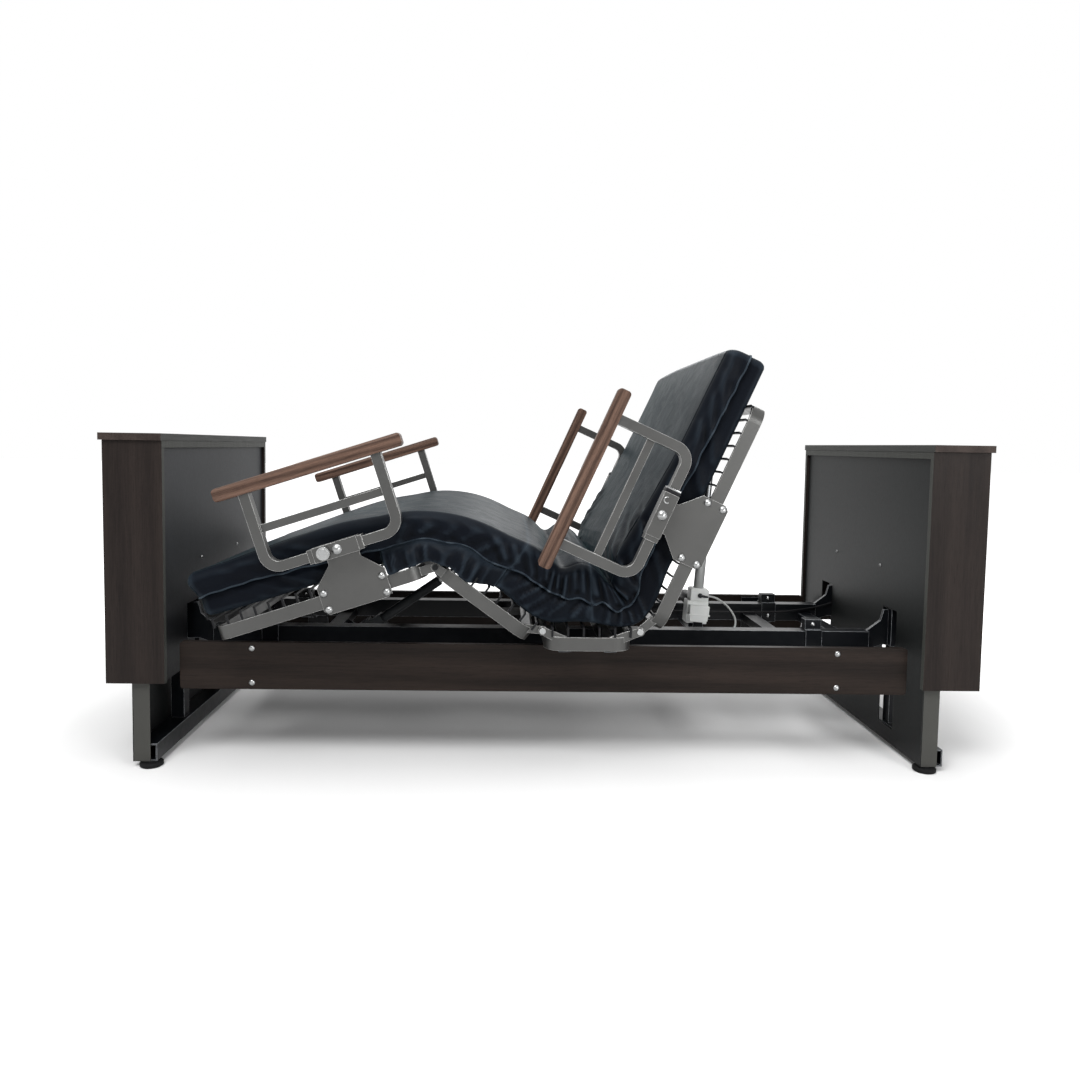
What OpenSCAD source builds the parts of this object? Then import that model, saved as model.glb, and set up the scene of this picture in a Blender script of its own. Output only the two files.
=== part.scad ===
// Adjustable home-care bed: two floor-standing end cabinets that lift a frame with a
// four-section deck, swing-out assist rails and a soft mattress.
// X runs from the foot end to the head end, the left side is -Y, the floor is z = 0.

/* [End cabinets] */
// Length over both cabinet tops
bed_length = 2260; // [2200:1:2400]
// Width of a cabinet top
top_width = 900; // [860:1:1000]
// Depth of a cabinet top, along the bed
top_depth = 156; // [150:1:190]
// Thickness of a cabinet top
top_thickness = 18; // [15:1:25]
// How far the top stands out past the cabinet's panels
top_overhang = 7; // [2:1:12]
// Height of the cabinets over the floor
cabinet_height = 859; // [820:1:950]
// Gap between the floor and the cabinet's panels
cabinet_clearance = 223; // [190:1:240]
// Thickness of the cabinet's side and outer panels
panel_thickness = 15; // [12:1:18]
// How far the dark inner panel lies behind the edges of the side panels
inner_recess = 9; // [4:1:14]
// Thickness of the foot cabinet's inner panel
inner_thickness = 12; // [6:1:15]
// Height of the board under each cabinet top
apron_height = 18; // [12:1:30]

/* [Legs and floor] */
// Thickness of the sheet-metal legs and back sheets
sheet_thickness = 3; // [2:0.5:4]
// Depth of a leg, along the bed
leg_depth = 41; // [34:1:48]
// Width of a leg's return flange, across the bed
leg_flange = 40; // [25:1:60]
// Gap between the floor and the bottom of the legs
leg_clearance = 15; // [12:1:25]
// Distance of the foot glides from the foot legs' back sheet, along X
foot_glide_offset = 42; // [30:1:46]
// Distance of the head glides from the head legs' back sheet, along X
head_glide_offset = 18; // [16:1:40]
// Height of the base channel that joins the legs
channel_height = 45; // [35:1:50]
// Depth of the base channel, along the bed
channel_depth = 57; // [52:1:60]
// Diameter of a floor glide
glide_diameter = 58; // [45:1:64]
// Distance of the glides from the middle of the bed, along Y
glide_spread = 415; // [380:1:415]

/* [Lift] */
// Distance that the frame travels between low and high
lift_travel = 170; // [120:1:172]
// Side of a square guide column
column_size = 36; // [30:1:38]
// Length of a carriage shoe on its column
shoe_height = 106; // [80:1:108]
// Width of the slot that a bracket passes through
slot_width = 85; // [80:1:90]
// Distance between the middles of the two slots
slot_spacing = 451; // [440:1:456]
// Height of the slots' lower edge over the floor
slot_bottom = 58; // [50:1:80]
// Radius of a lift rod
lift_rod_radius = 12; // [8:1:14]

/* [Frame] */
// Height of the deck bars' centre line over the floor, frame raised
deck_height = 349; // [345:1:352]
// Distance from the bars' centre line down to the top of the main rails
rail_drop = 23; // [22:1:26]
// Distance between the main rails' centre lines
rail_spacing = 400; // [390:1:410]
// Width of a main rail
rail_width = 40; // [34:1:44]
// Height of a main rail
rail_height = 55; // [50:1:60]
// Wall of a main rail
rail_wall = 3; // [2:0.5:4]
// Length of the main rails
rail_length = 1860; // [1840:1:1880]
// Height of a cross tube
cross_height = 26; // [20:1:28]
// Width of a cross tube
cross_width = 40; // [30:1:44]

/* [Side boards] */
// Length of a side board
board_length = 1912; // [1880:1:1930]
// Height of a side board
board_height = 124; // [110:1:130]
// Thickness of a side board
board_thickness = 18; // [15:1:20]
// Distance between the outer faces of the side boards
board_spread = 784; // [770:1:800]
// Depth of the side boards' top edge below the bars' centre line
board_top = 29; // [27:1:40]
// Distance of the board bolts from the middle of the bed
board_bolt_reach = 770; // [750:1:790]

/* [Deck] */
// Width over the deck's flat bars
deck_width = 994; // [988:1:1000]
// Height of a flat bar
bar_height = 34; // [30:1:36]
// Thickness of a flat bar
bar_thickness = 8; // [6:1:8]
// Outer radius of a bar loop's corners
corner_radius = 45; // [30:1:60]
// Length of the fixed seat loop
seat_length = 219; // [216:1:221]
// Place of the seat loop's foot-side edge
seat_start = -12; // [-13:1:-11]
// Place of the hip hinge that carries the thigh section
hip_x = -17; // [-18:1:-16]
// Place of the waist hinge that carries the back section
waist_x = 228; // [227:1:229]
// Height of the hip and waist hinges over the bars' centre line
hinge_rise = 31; // [31:1:33]
// Distance from the hip hinge to the knee hinge
thigh_reach = 310; // [300:1:318]
// Length of the calf loop
calf_length = 542; // [530:1:550]
// Length of the back loop
back_length = 610; // [600:1:616]
// Angle of the raised thigh section
thigh_up = 36; // [36:1:38]
// Slope of the calf section under the raised thigh
calf_drop = 18; // [17:1:18]
// Angle of the raised back section
back_up = 66; // [62:1:68]
// Height of the wire mesh's underside over the bars' centre line
mesh_rise = 37; // [36:1:40]
// Height of the back section's mesh over the bars' centre line
back_mesh_rise = 20; // [18:1:26]
// Thickness of the mesh wires
wire = 5; // [4:0.5:5]
// Distance between neighbouring cross wires
wire_pitch = 34; // [28:1:44]
// Distance between neighbouring long wires
long_pitch = 118; // [90:1:160]

/* [Hinges] */
// Radius of the hinge pins
pin_radius = 5; // [4:0.5:6]
// Radius of the hinge bosses
boss_radius = 11; // [10:0.5:11]
// Thickness of a moving hinge ear
ear_thickness = 6; // [4:1:6]

/* [Mattress] */
// Width of the mattress
mattress_width = 960; // [900:1:966]
// Thickness of the mattress
mattress_thickness = 120; // [100:1:125]
// Thickness of the mattress over the back section
back_thickness = 104; // [90:1:115]
// Distance from the knee hinge to the mattress's foot end
mattress_foot = 590; // [580:1:600]
// Distance from the waist hinge to the mattress's head end
mattress_head = 742; // [720:1:743]

/* [Assist rails] */
// Distance between the two arms of a rail's frame
arm_spacing = 331; // [300:1:340]
// Distance from the swing axis to the middle of the grip
arm_height = 208; // [190:1:215]
// Side of the rail's square tube
tube_size = 25; // [22:1:26]
// Outer radius of the tube's bends
bend_radius = 50; // [40:1:60]
// Distance from the grip down to the middle bar
middle_drop = 108; // [90:1:120]
// Height of the middle bar
middle_height = 20; // [14:1:24]
// Length of a grip
grip_length = 470; // [440:1:490]
// Height of a grip
grip_height = 33; // [28:1:34]
// Radius of a grip's corners
grip_corner = 9; // [5:1:12]
// Width of a grip
grip_width = 38; // [30:1:38]
// Thickness of a rail's mounting plate
plate_thickness = 6; // [4:1:6]
// Length of a clamp sleeve
sleeve_length = 112; // [90:1:120]
// Outer side of a clamp sleeve
sleeve_size = 37; // [34:1:38]
// Height of the swing axis over the bars' centre line
sleeve_rise = 119; // [118:1:124]
// Distance from the knee hinge back to the foot rails' middle
foot_rail_place = 205; // [200:1:210]
// Distance from the foot rails' plates to the middle of their tubes, towards the foot end
foot_rail_shift = 8; // [0:1:12]
// Distance from the waist hinge to the head rails' middle
head_rail_place = 288; // [280:1:295]
// Radius of the release knobs
knob_radius = 16; // [12:1:16]

/* [Actuators] */
// Place of the back actuator's lower pivot
back_pivot_x = 484; // [482:1:486]
// Height of the back actuator's lower pivot below the bars' centre line
back_pivot_drop = 21; // [20:1:22]
// Distance from the waist hinge to the back actuator's upper pin
back_pin_reach = 610; // [608:1:612]
// Depth of the back actuator's upper pin below the bars' centre line
back_pin_drop = 24; // [22:1:26]
// Place of the knee actuator's lower pivot
knee_pivot_x = -560; // [-562:1:-558]
// Depth of the knee actuator's lower pivot below the bars' centre line
knee_pivot_drop = 96; // [94:1:98]
// Distance from the hip hinge to the knee actuator's upper pin
knee_pin_reach = 234; // [232:1:236]
// Depth of the knee actuator's upper pin below the bars' centre line
knee_pin_drop = 18; // [17:1:19]
// Radius of an actuator's tube
tube_radius = 15; // [13:1:15]
// Radius of an actuator's rod
rod_radius = 10; // [7:1:11]

/* [Hidden] */
$fn = 48;
seat_gap = 0.3;
weld_gap = 0.2;
running_gap = 0.06;

// end cabinets
end_x = bed_length / 2;
half_top = top_width / 2;
panel_outer = end_x - top_overhang;
panel_inner = end_x - top_depth + 1;
side_y = half_top - top_overhang;
inner_y = side_y - panel_thickness;
panel_top = cabinet_height - top_thickness;
dark_face = panel_inner + inner_recess;
dark_top = panel_top - apron_height;
screw_y = 155;
screw_z = 509;

// floor units: both have the same hand, so the foot one isn't a mirror image
head_leg_x = dark_face + sheet_thickness;
foot_leg_x = -panel_outer + panel_thickness + 47;
leg_xs = [foot_leg_x, head_leg_x];
leg_inner = inner_y - sheet_thickness;
leg_top = dark_top - 5;
channel_top = leg_clearance + channel_height;
glide_xs = [foot_leg_x - sheet_thickness + foot_glide_offset,
            head_leg_x - sheet_thickness + head_glide_offset];
column_xs = [for (x = leg_xs) x + channel_depth / 2];
column_top = dark_top - 20;

// frame
rail_y = rail_spacing / 2;
rail_side = rail_y + rail_width / 2;
rail_top = deck_height - rail_drop;
rail_bottom = rail_top - rail_height;
rail_end = rail_length / 2;
cross_top = rail_bottom + cross_height;
bar_bottom = deck_height - bar_height / 2;
bar_top = deck_height + bar_height / 2;
bracket_thickness = 10;
shoe_wall = 6;
shoe_size = column_size + 2 * shoe_wall + 2 * seat_gap;
shoe_top = deck_height + 42;
shoe_bottom = shoe_top - shoe_height;
slot_top = shoe_top + 4;
slot_y = slot_spacing / 2;
beam_z = deck_height - 45;
beam_top = beam_z + 36;
motor_bottom = column_top - 130;
tube_bottom = shoe_top - 26;
board_outer = board_spread / 2;
board_inner = board_outer - board_thickness;
board_crest = deck_height - board_top;
board_bottom = board_crest - board_height;

// deck, laid flat
seat_end = seat_start + seat_length;
hinge_z = deck_height + hinge_rise;
knee_x = hip_x - thigh_reach;
thigh_end = hip_x - 17;
thigh_start = knee_x + 7;
calf_end = knee_x - 28;
calf_start = calf_end - calf_length;
back_start = waist_x + 24;
back_end = back_start + back_length;
half_deck = deck_width / 2;
bar_inner = half_deck - bar_thickness;
outer_ear = bar_inner - ear_thickness;
inner_ear = outer_ear - 1 - ear_thickness;
mesh_top = mesh_rise + wire;
mesh_margin = 22;
pad_bottom = deck_height + mesh_top + seat_gap;
pad_top = pad_bottom + mattress_thickness;
back_pad_bottom = deck_height + back_mesh_rise + wire + seat_gap;
back_pad_top = back_pad_bottom + back_thickness;
half_pad = mattress_width / 2;
hoop_y = 440;
hoop_rise = 45;

// assist rails
foot_station = knee_x - foot_rail_place;
head_station = waist_x + head_rail_place;
spacer = 8.5;
axis_y = half_deck + plate_thickness + spacer + sleeve_size / 2;
axis_z = deck_height + sleeve_rise;
half_sleeve = sleeve_length / 2;
half_arm = arm_spacing / 2;
half_tube = tube_size / 2;
collar_length = 12;
collar_size = 34;
journal_radius = half_tube - 0.5;
bolt_along = 75;
bolt_up = bar_height / 2 + 4;
bolt_radius = 4;
clamp_thickness = 4;
foot_knob_along = -32;

// actuators, with [x, z] of each pivot
function turned(p, c, a) = [
    c[0] + (p[0] - c[0]) * cos(a) + (p[1] - c[1]) * sin(a),
    c[1] - (p[0] - c[0]) * sin(a) + (p[1] - c[1]) * cos(a)
];
waist = [waist_x, hinge_z];
hip = [hip_x, hinge_z];
knee = [knee_x, deck_height];
back_pivot = [back_pivot_x, deck_height - back_pivot_drop];
back_pin_flat = [waist_x + back_pin_reach, deck_height - back_pin_drop];
back_pin = turned(back_pin_flat, waist, -back_up);
knee_pivot = [knee_pivot_x, deck_height - knee_pivot_drop];
knee_pin_flat = [hip_x - knee_pin_reach, deck_height - knee_pin_drop];
knee_pin = turned(knee_pin_flat, hip, thigh_up);
back_reach = norm(back_pin - back_pivot);
back_reach_flat = norm(back_pin_flat - back_pivot);
knee_reach = norm(knee_pin - knee_pivot);
knee_reach_flat = norm(knee_pin_flat - knee_pivot);
eye_radius = 13;
eye_width = 20;
pivot_radius = 6;
cheek_gap = 1;
cheek_thickness = 6;
lug_radius = 12;
strap_thickness = 5;

// leads: routes in [x, y, z], chosen by hand
lead_radius = 3;
lead_sides = 8;
back_lead_route = [
    [504, -58, 346], [504, -64, 346], [509, -72, 350], [519, -78, 354], [532, -82, 354],
    [546, -87, 348], [558, -93, 338], [566, -103, 327], [570, -114, 316], [566, -127, 307],
    [552, -142, 301], [520, -158, 300], [440, -160, 300],
    [340, -160, 300], [240, -160, 300], [140, -158, 300], [90, -148, 300], [60, -128, 302],
    [46, -96, 306], [34, -64, 310], [18, -46, 312]
];
lift_lead_route = [
    [18, 40, 312], [60, 70, 308], [100, 110, 304], [150, 140, 303], [240, 152, 303],
    [360, 155, 303], [480, 154, 304], [600, 152, 303], [720, 152, 303], [820, 158, 305],
    [880, 170, 311], [930, 176, 318], [966, 184, 326], [988, 188, 332]
];

// ---- shared shapes ----

// A box between two opposite corners
module block(low, high) translate(low) cube(high - low);

// The children, and their mirror image across the middle of the bed
module both_sides() for (m = [0, 1]) mirror([0, m, 0]) children();

// The children on the far side, or mirrored to the near side
module on_side(near) mirror([0, near ? 1 : 0, 0]) children();

// The children at the head end, or mirrored to the foot end
module at_end(head) mirror([head ? 0 : 1, 0, 0]) children();

// The children, turned about a pivot that runs across the bed
module about(pivot, angle)
    translate([pivot[0], 0, pivot[1]]) rotate([0, angle, 0])
        translate([-pivot[0], 0, -pivot[1]]) children();

module in_thigh() about(hip, thigh_up) children();
module in_calf() in_thigh() about(knee, -thigh_up - calf_drop) children();
module in_back() about(waist, -back_up) children();

// A flat outline in X and Z, thickened across the bed from y to y + thickness
module side_plate(y, thickness)
    translate([0, y + thickness, 0]) rotate([90, 0, 0]) linear_extrude(thickness) children();

// A cylinder that runs across the bed
module cross_pin(at, radius, y_low, y_high)
    translate([at[0], y_high, at[1]]) rotate([90, 0, 0]) cylinder(r = radius, h = y_high - y_low);

// A rectangle with round corners
module round_rect(low, high, r) {
    translate([low[0] + r, low[1]]) square([high[0] - low[0] - 2 * r, high[1] - low[1]]);
    translate([low[0], low[1] + r]) square([high[0] - low[0], high[1] - low[1] - 2 * r]);
    for (x = [low[0] + r, high[0] - r], y = [low[1] + r, high[1] - r])
        translate([x, y]) circle(r);
}

// A domed head that rests on the plane z = 0
module dome(radius, height) {
    ball = (radius * radius + height * height) / (2 * height);
    intersection() {
        translate([0, 0, height - ball]) sphere(ball);
        cylinder(r = radius, h = height);
    }
}

// A domed bolt with its shank below
module dome_bolt(radius, height, shank_length) {
    dome(radius, height);
    translate([0, 0, -shank_length]) cylinder(r = bolt_radius, h = shank_length);
}

// A round lead along a route
module lead(route) {
    n = len(route);
    s = lead_sides;
    function heading(i) =
        let (d = route[min(i + 1, n - 1)] - route[max(i - 1, 0)]) d / norm(d);
    rings = [for (i = [0 : n - 1])
        let (t = heading(i), side = cross([0, 0, 1], t) / norm(cross([0, 0, 1], t)))
        let (up = cross(t, side))
        for (k = [0 : s - 1])
            route[i] + lead_radius * (cos(360 * k / s) * side + sin(360 * k / s) * up)];
    walls = [for (i = [0 : n - 2], k = [0 : s - 1])
        [i * s + k, (i + 1) * s + k, (i + 1) * s + (k + 1) % s, i * s + (k + 1) % s]];
    ends = [[for (k = [0 : s - 1]) k], [for (k = [0 : s - 1]) n * s - 1 - k]];
    polyhedron(rings, concat(walls, ends), convexity = 4);
}

// ---- end cabinets ----

module cabinet_top(head)
    color([0.22, 0.19, 0.17]) at_end(head)
        block([end_x - top_depth, -half_top, panel_top], [end_x, half_top, cabinet_height]);
module foot_top() cabinet_top(false);
module head_top() cabinet_top(true);

module side_panels(head)
    color([0.24, 0.20, 0.18]) at_end(head) both_sides()
        block([panel_inner, -side_y, cabinet_clearance], [panel_outer, -inner_y, panel_top]);
module foot_side_panels() side_panels(false);
module head_side_panels() side_panels(true);

module outer_panel(head)
    color([0.24, 0.20, 0.18]) at_end(head)
        block([panel_outer - panel_thickness, -inner_y, cabinet_clearance],
              [panel_outer, inner_y, panel_top]);
module foot_outer_panel() outer_panel(false);
module head_outer_panel() outer_panel(true);

module cabinet_aprons()
    color([0.20, 0.20, 0.19]) for (head = [false, true]) at_end(head)
        block([panel_inner, -inner_y, dark_top], [panel_outer - panel_thickness, inner_y, panel_top]);

// Slots that the lift brackets pass through
module bracket_slots(x, thickness, bottom)
    both_sides() block([x - 1, slot_y - slot_width / 2, bottom],
                       [x + thickness + 1, slot_y + slot_width / 2, slot_top]);

module foot_inner_panel()
    color([0.07, 0.07, 0.08]) difference() {
        x = -dark_face - inner_thickness;
        block([x, -inner_y, cabinet_clearance], [-dark_face, inner_y, dark_top]);
        bracket_slots(x, inner_thickness, cabinet_clearance - 1);
    }

module panel_screws()
    color([0.75, 0.75, 0.76]) for (head = [false, true]) at_end(head) both_sides()
        translate([dark_face, screw_y, screw_z]) rotate([0, -90, 0]) dome(5, 3);

// ---- legs and floor ----

module leg_sheets()
    color([0.07, 0.07, 0.08]) for (head = [false, true]) difference() {
        x = head ? head_leg_x : foot_leg_x;
        block([x - sheet_thickness, -inner_y, leg_clearance], [x, inner_y, dark_top]);
        if (head) bracket_slots(x - sheet_thickness, sheet_thickness, slot_bottom);
    }

// Angles that stand against the sheets and carry the cabinets
module legs()
    color([0.40, 0.40, 0.39]) for (x = leg_xs) both_sides()
        translate([x, -inner_y, leg_clearance]) linear_extrude(leg_top - leg_clearance) {
            square([leg_depth, sheet_thickness]);
            square([sheet_thickness, leg_flange]);
        }

module base_channels()
    color([0.30, 0.30, 0.30]) for (x = leg_xs)
        difference() {
            low = leg_clearance;
            block([x + sheet_thickness, -leg_inner, low], [x + channel_depth, leg_inner, channel_top]);
            block([x, -inner_y, low + sheet_thickness],
                  [x + channel_depth - sheet_thickness, inner_y, channel_top - sheet_thickness]);
        }

module floor_glides()
    color([0.10, 0.10, 0.11]) for (x = glide_xs) both_sides()
        translate([x, glide_spread, 0]) rotate_extrude()
            polygon([[0, 0], [glide_diameter / 2 - 3, 0], [glide_diameter / 2, 3],
                     [glide_diameter / 2, leg_clearance - 5], [glide_diameter / 2 - 4, leg_clearance - 3],
                     [12, leg_clearance - 3], [12, leg_clearance], [0, leg_clearance]]);

// ---- lift ----

module guide_columns()
    color([0.35, 0.35, 0.35]) for (x = column_xs) both_sides()
        translate([x, rail_y, channel_top]) linear_extrude(column_top - channel_top)
            difference() {
                square(column_size, center = true);
                square(column_size - 2 * sheet_thickness, center = true);
            }

module lift_actuators()
    color([0.16, 0.16, 0.17]) for (x = column_xs) difference() {
        union() {
            block([x - 15, -rail_y + column_size / 2, column_top - 36],
                  [x + 15, rail_y - column_size / 2, column_top]);
            block([x - 28, -40, motor_bottom], [x + 28, 40, column_top - 36]);
            translate([x, 0, tube_bottom]) cylinder(r = 22, h = motor_bottom - tube_bottom);
        }
        translate([x, 0, tube_bottom - 1])
            cylinder(r = lift_rod_radius + running_gap, h = motor_bottom - tube_bottom - 20);
    }

module carriages()
    color([0.30, 0.30, 0.31]) for (x = column_xs) {
        both_sides() translate([x, rail_y, shoe_bottom]) linear_extrude(shoe_height)
            difference() {
                square(shoe_size, center = true);
                square(column_size + 2 * seat_gap, center = true);
            }
        block([x - 15, -rail_y + shoe_size / 2, beam_z], [x + 15, rail_y - shoe_size / 2, beam_top]);
        translate([x, 0, beam_top])
            cylinder(r = lift_rod_radius, h = tube_bottom + lift_travel + 30 - beam_top);
    }

// ---- frame ----

module main_rails()
    color([0.10, 0.11, 0.12]) both_sides() difference() {
        block([-rail_end, rail_side - rail_width, rail_bottom], [rail_end, rail_side, rail_top]);
        block([-rail_end - 1, rail_side - rail_width + rail_wall, rail_bottom + rail_wall],
              [rail_end + 1, rail_side - rail_wall, rail_top - rail_wall]);
    }

// Places of the cross tubes: two by the ends, one for each actuator, two for the control box
knee_tube_x = knee_pivot_x - 60;
end_tube_inset = 40;
head_tube_inset = 230;
cross_xs = [-rail_end + end_tube_inset, knee_tube_x, -120, -5, rail_end - head_tube_inset,
            rail_end - end_tube_inset];
module cross_tubes()
    color([0.10, 0.11, 0.12]) {
        for (x = cross_xs)
            block([x - cross_width / 2, -rail_side + rail_width, rail_bottom],
                  [x + cross_width / 2, rail_side - rail_width, cross_top]);
        block([back_pivot_x - 18, -rail_side + rail_width, rail_bottom],
              [back_pivot_x + 18, rail_side - rail_width, rail_bottom + strap_thickness]);
    }

// Plates that carry the ends of the rails on the carriages
module end_bracket(shoe_face)
    side_plate(rail_y - bracket_thickness / 2, bracket_thickness) polygon([
        [rail_end, rail_bottom], [rail_end, rail_top], [rail_end + 39, rail_top + 30],
        [dark_face - 6, shoe_top - 3], [shoe_face, shoe_top - 3],
        [shoe_face, shoe_bottom + 1], [rail_end + 45, shoe_bottom + 1]
    ]);
module end_brackets()
    color([0.14, 0.14, 0.15]) both_sides() {
        end_bracket(column_xs[1] - shoe_size / 2);
        mirror([1, 0, 0]) end_bracket(-column_xs[0] - shoe_size / 2);
    }

// Arms that reach from the rails to the side boards, with an end plate
strap = 4;
arm_top = rail_bottom + 14;
module outriggers()
    color([0.12, 0.12, 0.13]) for (head = [false, true]) at_end(head) both_sides() {
        block([board_bolt_reach - 25, rail_side + strap, arm_top - 30],
              [board_bolt_reach + 25, board_inner - 8, arm_top]);
        block([board_bolt_reach - 35, board_inner - 8, board_bottom + 6],
              [board_bolt_reach + 35, board_inner, board_crest - 6]);
    }

// Saddles: a strap round the rail under a bolted block
saddle_half = 23;
saddle_block = 14;
saddle_top = rail_top + strap + 28;
module saddles()
    color([0.10, 0.10, 0.11]) for (head = [false, true]) at_end(head) both_sides() {
        difference() {
            block([board_bolt_reach - saddle_half, rail_side - rail_width - strap, rail_bottom - strap],
                  [board_bolt_reach + saddle_half, rail_side + strap, rail_top + strap]);
            block([board_bolt_reach - saddle_half - 1, rail_side - rail_width, rail_bottom],
                  [board_bolt_reach + saddle_half + 1, rail_side, rail_top]);
        }
        block([board_bolt_reach - saddle_half, rail_y - saddle_block, rail_top + strap],
              [board_bolt_reach + saddle_half, rail_y + saddle_block, saddle_top]);
    }

board_bolt_places = [for (x = [-board_bolt_reach, board_bolt_reach],
                          z = [board_crest - 16, board_bottom + 17]) [x, z]];
module side_boards()
    color([0.22, 0.18, 0.17]) both_sides()
        side_plate(board_inner, board_thickness) difference() {
            round_rect([-board_length / 2, board_bottom], [board_length / 2, board_crest], 8);
            for (p = board_bolt_places) translate(p) circle(bolt_radius + running_gap);
        }
module board_bolts()
    color([0.75, 0.75, 0.76]) both_sides() {
        for (p = board_bolt_places)
            translate([p[0], board_outer, p[1]]) rotate([-90, 0, 0]) dome_bolt(8, 4, board_thickness);
        // heads of the saddles' own bolts, outside and inside
        for (x = [-board_bolt_reach, board_bolt_reach]) {
            translate([x, rail_y + saddle_block, saddle_top - 14]) rotate([-90, 0, 0]) dome(7, 4);
            translate([x, rail_y - saddle_block, saddle_top - 14]) rotate([90, 0, 0]) dome(7, 4);
            translate([x, rail_side - rail_width - strap, rail_bottom + 16]) rotate([90, 0, 0]) dome(7, 4);
        }
    }

// Lugs on the frame that carry the actuators, with a pin stub in each
module actuator_lug(pivot, foot)
    side_plate(housing_half + cheek_gap, cheek_thickness) {
        translate(pivot) circle(lug_radius);
        polygon(foot);
    }
module actuator_lugs()
    color([0.12, 0.12, 0.13]) both_sides() {
        actuator_lug(back_pivot, [
            [back_pivot_x - 17, rail_bottom + strap_thickness],
            [back_pivot_x + 17, rail_bottom + strap_thickness],
            back_pivot + [lug_radius * 0.96, lug_radius * 0.28],
            back_pivot + [-lug_radius * 0.96, lug_radius * 0.28]]);
        actuator_lug(knee_pivot, [
            [knee_tube_x + cross_width / 2, rail_bottom + 1],
            knee_pivot + [-lug_radius * 0.5, -lug_radius * 0.87],
            knee_pivot + [lug_radius * 0.5, lug_radius * 0.87],
            [knee_tube_x + cross_width / 2, cross_top - 1]]);
        for (p = [back_pivot, knee_pivot])
            cross_pin(p, pivot_radius, housing_half - 12, housing_half + cheek_gap + 1);
    }

module control_box()
    color([0.12, 0.12, 0.13])
        block([cross_xs[2] - cross_width / 2, -60, cross_top],
              [cross_xs[3] + cross_width / 2, 60, bar_bottom - 3]);

module back_lead() color([0.86, 0.86, 0.86]) lead(back_lead_route);
module lift_lead() color([0.07, 0.07, 0.07]) lead(lift_lead_route);

// ---- deck sections, drawn flat ----

// Four flat bars that form a loop with round corners
module bar_loop(x_low, x_high) {
    cut = half_deck - corner_radius;
    for (part = [0, 1, 2])
        translate([0, 0, bar_bottom]) linear_extrude(bar_height) intersection() {
            difference() {
                round_rect([x_low, -half_deck], [x_high, half_deck], corner_radius);
                round_rect([x_low + bar_thickness, -bar_inner], [x_high - bar_thickness, bar_inner],
                           corner_radius - bar_thickness);
            }
            if (part == 0)
                translate([x_low - 1, -cut + weld_gap]) square([x_high - x_low + 2, 2 * cut - 2 * weld_gap]);
            else
                mirror([0, part - 1]) translate([x_low - 1, cut])
                    square([x_high - x_low + 2, corner_radius + 1]);
        }
}

// A hinge plate: a round boss at the pivot on an arm that ends at x_far, between two heights
module hinge_arm(pivot, x_far, low, high, bore) difference() {
    union() {
        translate(pivot) circle(boss_radius);
        polygon([pivot - [0, boss_radius], [x_far, low], [x_far, high], pivot + [0, boss_radius]]);
    }
    if (bore > 0) translate(pivot) circle(bore);
}
fixed_bore = pin_radius;
moving_bore = pin_radius + running_gap;

// Wire mesh: a grid of wires, with legs that stand on the side bars, clear of any bolts
module mesh(x_low, x_high, rise, bolt_xs = []) {
    leg_clear = bolt_radius + wire;
    count = floor((x_high - x_low - wire) / wire_pitch);
    pitch = (x_high - x_low - wire) / count;
    rows = floor((half_pad - 10) / long_pitch);
    translate([0, 0, deck_height + rise]) linear_extrude(wire) {
        for (i = [0 : count])
            translate([x_low + i * pitch, -half_deck + 1]) square([wire, deck_width - 2]);
        for (j = [-rows : rows])
            translate([x_low, j * long_pitch - wire / 2]) square([x_high - x_low, wire]);
    }
    for (x = [for (i = [0 : count]) x_low + i * pitch])
        if (len([for (b = bolt_xs) if (abs(x + wire / 2 - b) < leg_clear) b]) == 0)
            both_sides() block([x, half_deck - 1 - wire, bar_top + weld_gap],
                               [x + wire, half_deck - 1, deck_height + rise]);
}

// A mattress section as a block with slanted ends
module pad(bottom_low, bottom_high, top_low, top_high)
    side_plate(-half_pad, mattress_width)
        polygon([[bottom_low, pad_bottom], [bottom_high, pad_bottom],
                 [top_high, pad_top], [top_low, pad_top]]);

// How far a slanted end leans at a height, for half the fold at a hinge
function lean(z, fold) = (z - hinge_z) * tan(fold / 2) + seat_gap;

// Tubes on the main rails that carry the seat's bars
module seat_supports()
    color([0.12, 0.12, 0.13]) for (x = [seat_start + 37, seat_end - 67])
        block([x, -outer_ear, rail_top], [x + 30, outer_ear, bar_top - 14]);

module seat_bars()
    color([0.43, 0.43, 0.42]) {
        bar_loop(seat_start, seat_end);
        both_sides() side_plate(outer_ear, ear_thickness) {
            hinge_arm(hip, seat_start + 60, bar_bottom + 4, bar_top - 1, fixed_bore);
            hinge_arm(waist, seat_end - 60, bar_bottom + 4, bar_top - 1, fixed_bore);
        }
    }

// A hinge pin with a head and a nut
module hinge_pin(at) both_sides() {
    cross_pin(at, pin_radius, inner_ear - 3.5, outer_ear + ear_thickness + 3.5);
    cross_pin(at, pin_radius + 3, outer_ear + ear_thickness, outer_ear + ear_thickness + 3.5);
    cross_pin(at, pin_radius + 3, inner_ear - 3.5, inner_ear - seat_gap);
}
module hinge_pins() color([0.75, 0.75, 0.76]) for (p = [hip, waist]) hinge_pin(p);
module knee_pins() color([0.75, 0.75, 0.76]) in_thigh() hinge_pin(knee);

module seat_mesh() color([0.08, 0.08, 0.09]) mesh(hip_x + mesh_margin, waist_x - mesh_margin, mesh_rise);
module seat_pad()
    color([0.13, 0.15, 0.18])
        pad(hip_x + lean(pad_bottom, thigh_up), waist_x - lean(pad_bottom, back_up),
            hip_x + lean(pad_top, thigh_up), waist_x - lean(pad_top, back_up));

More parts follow.
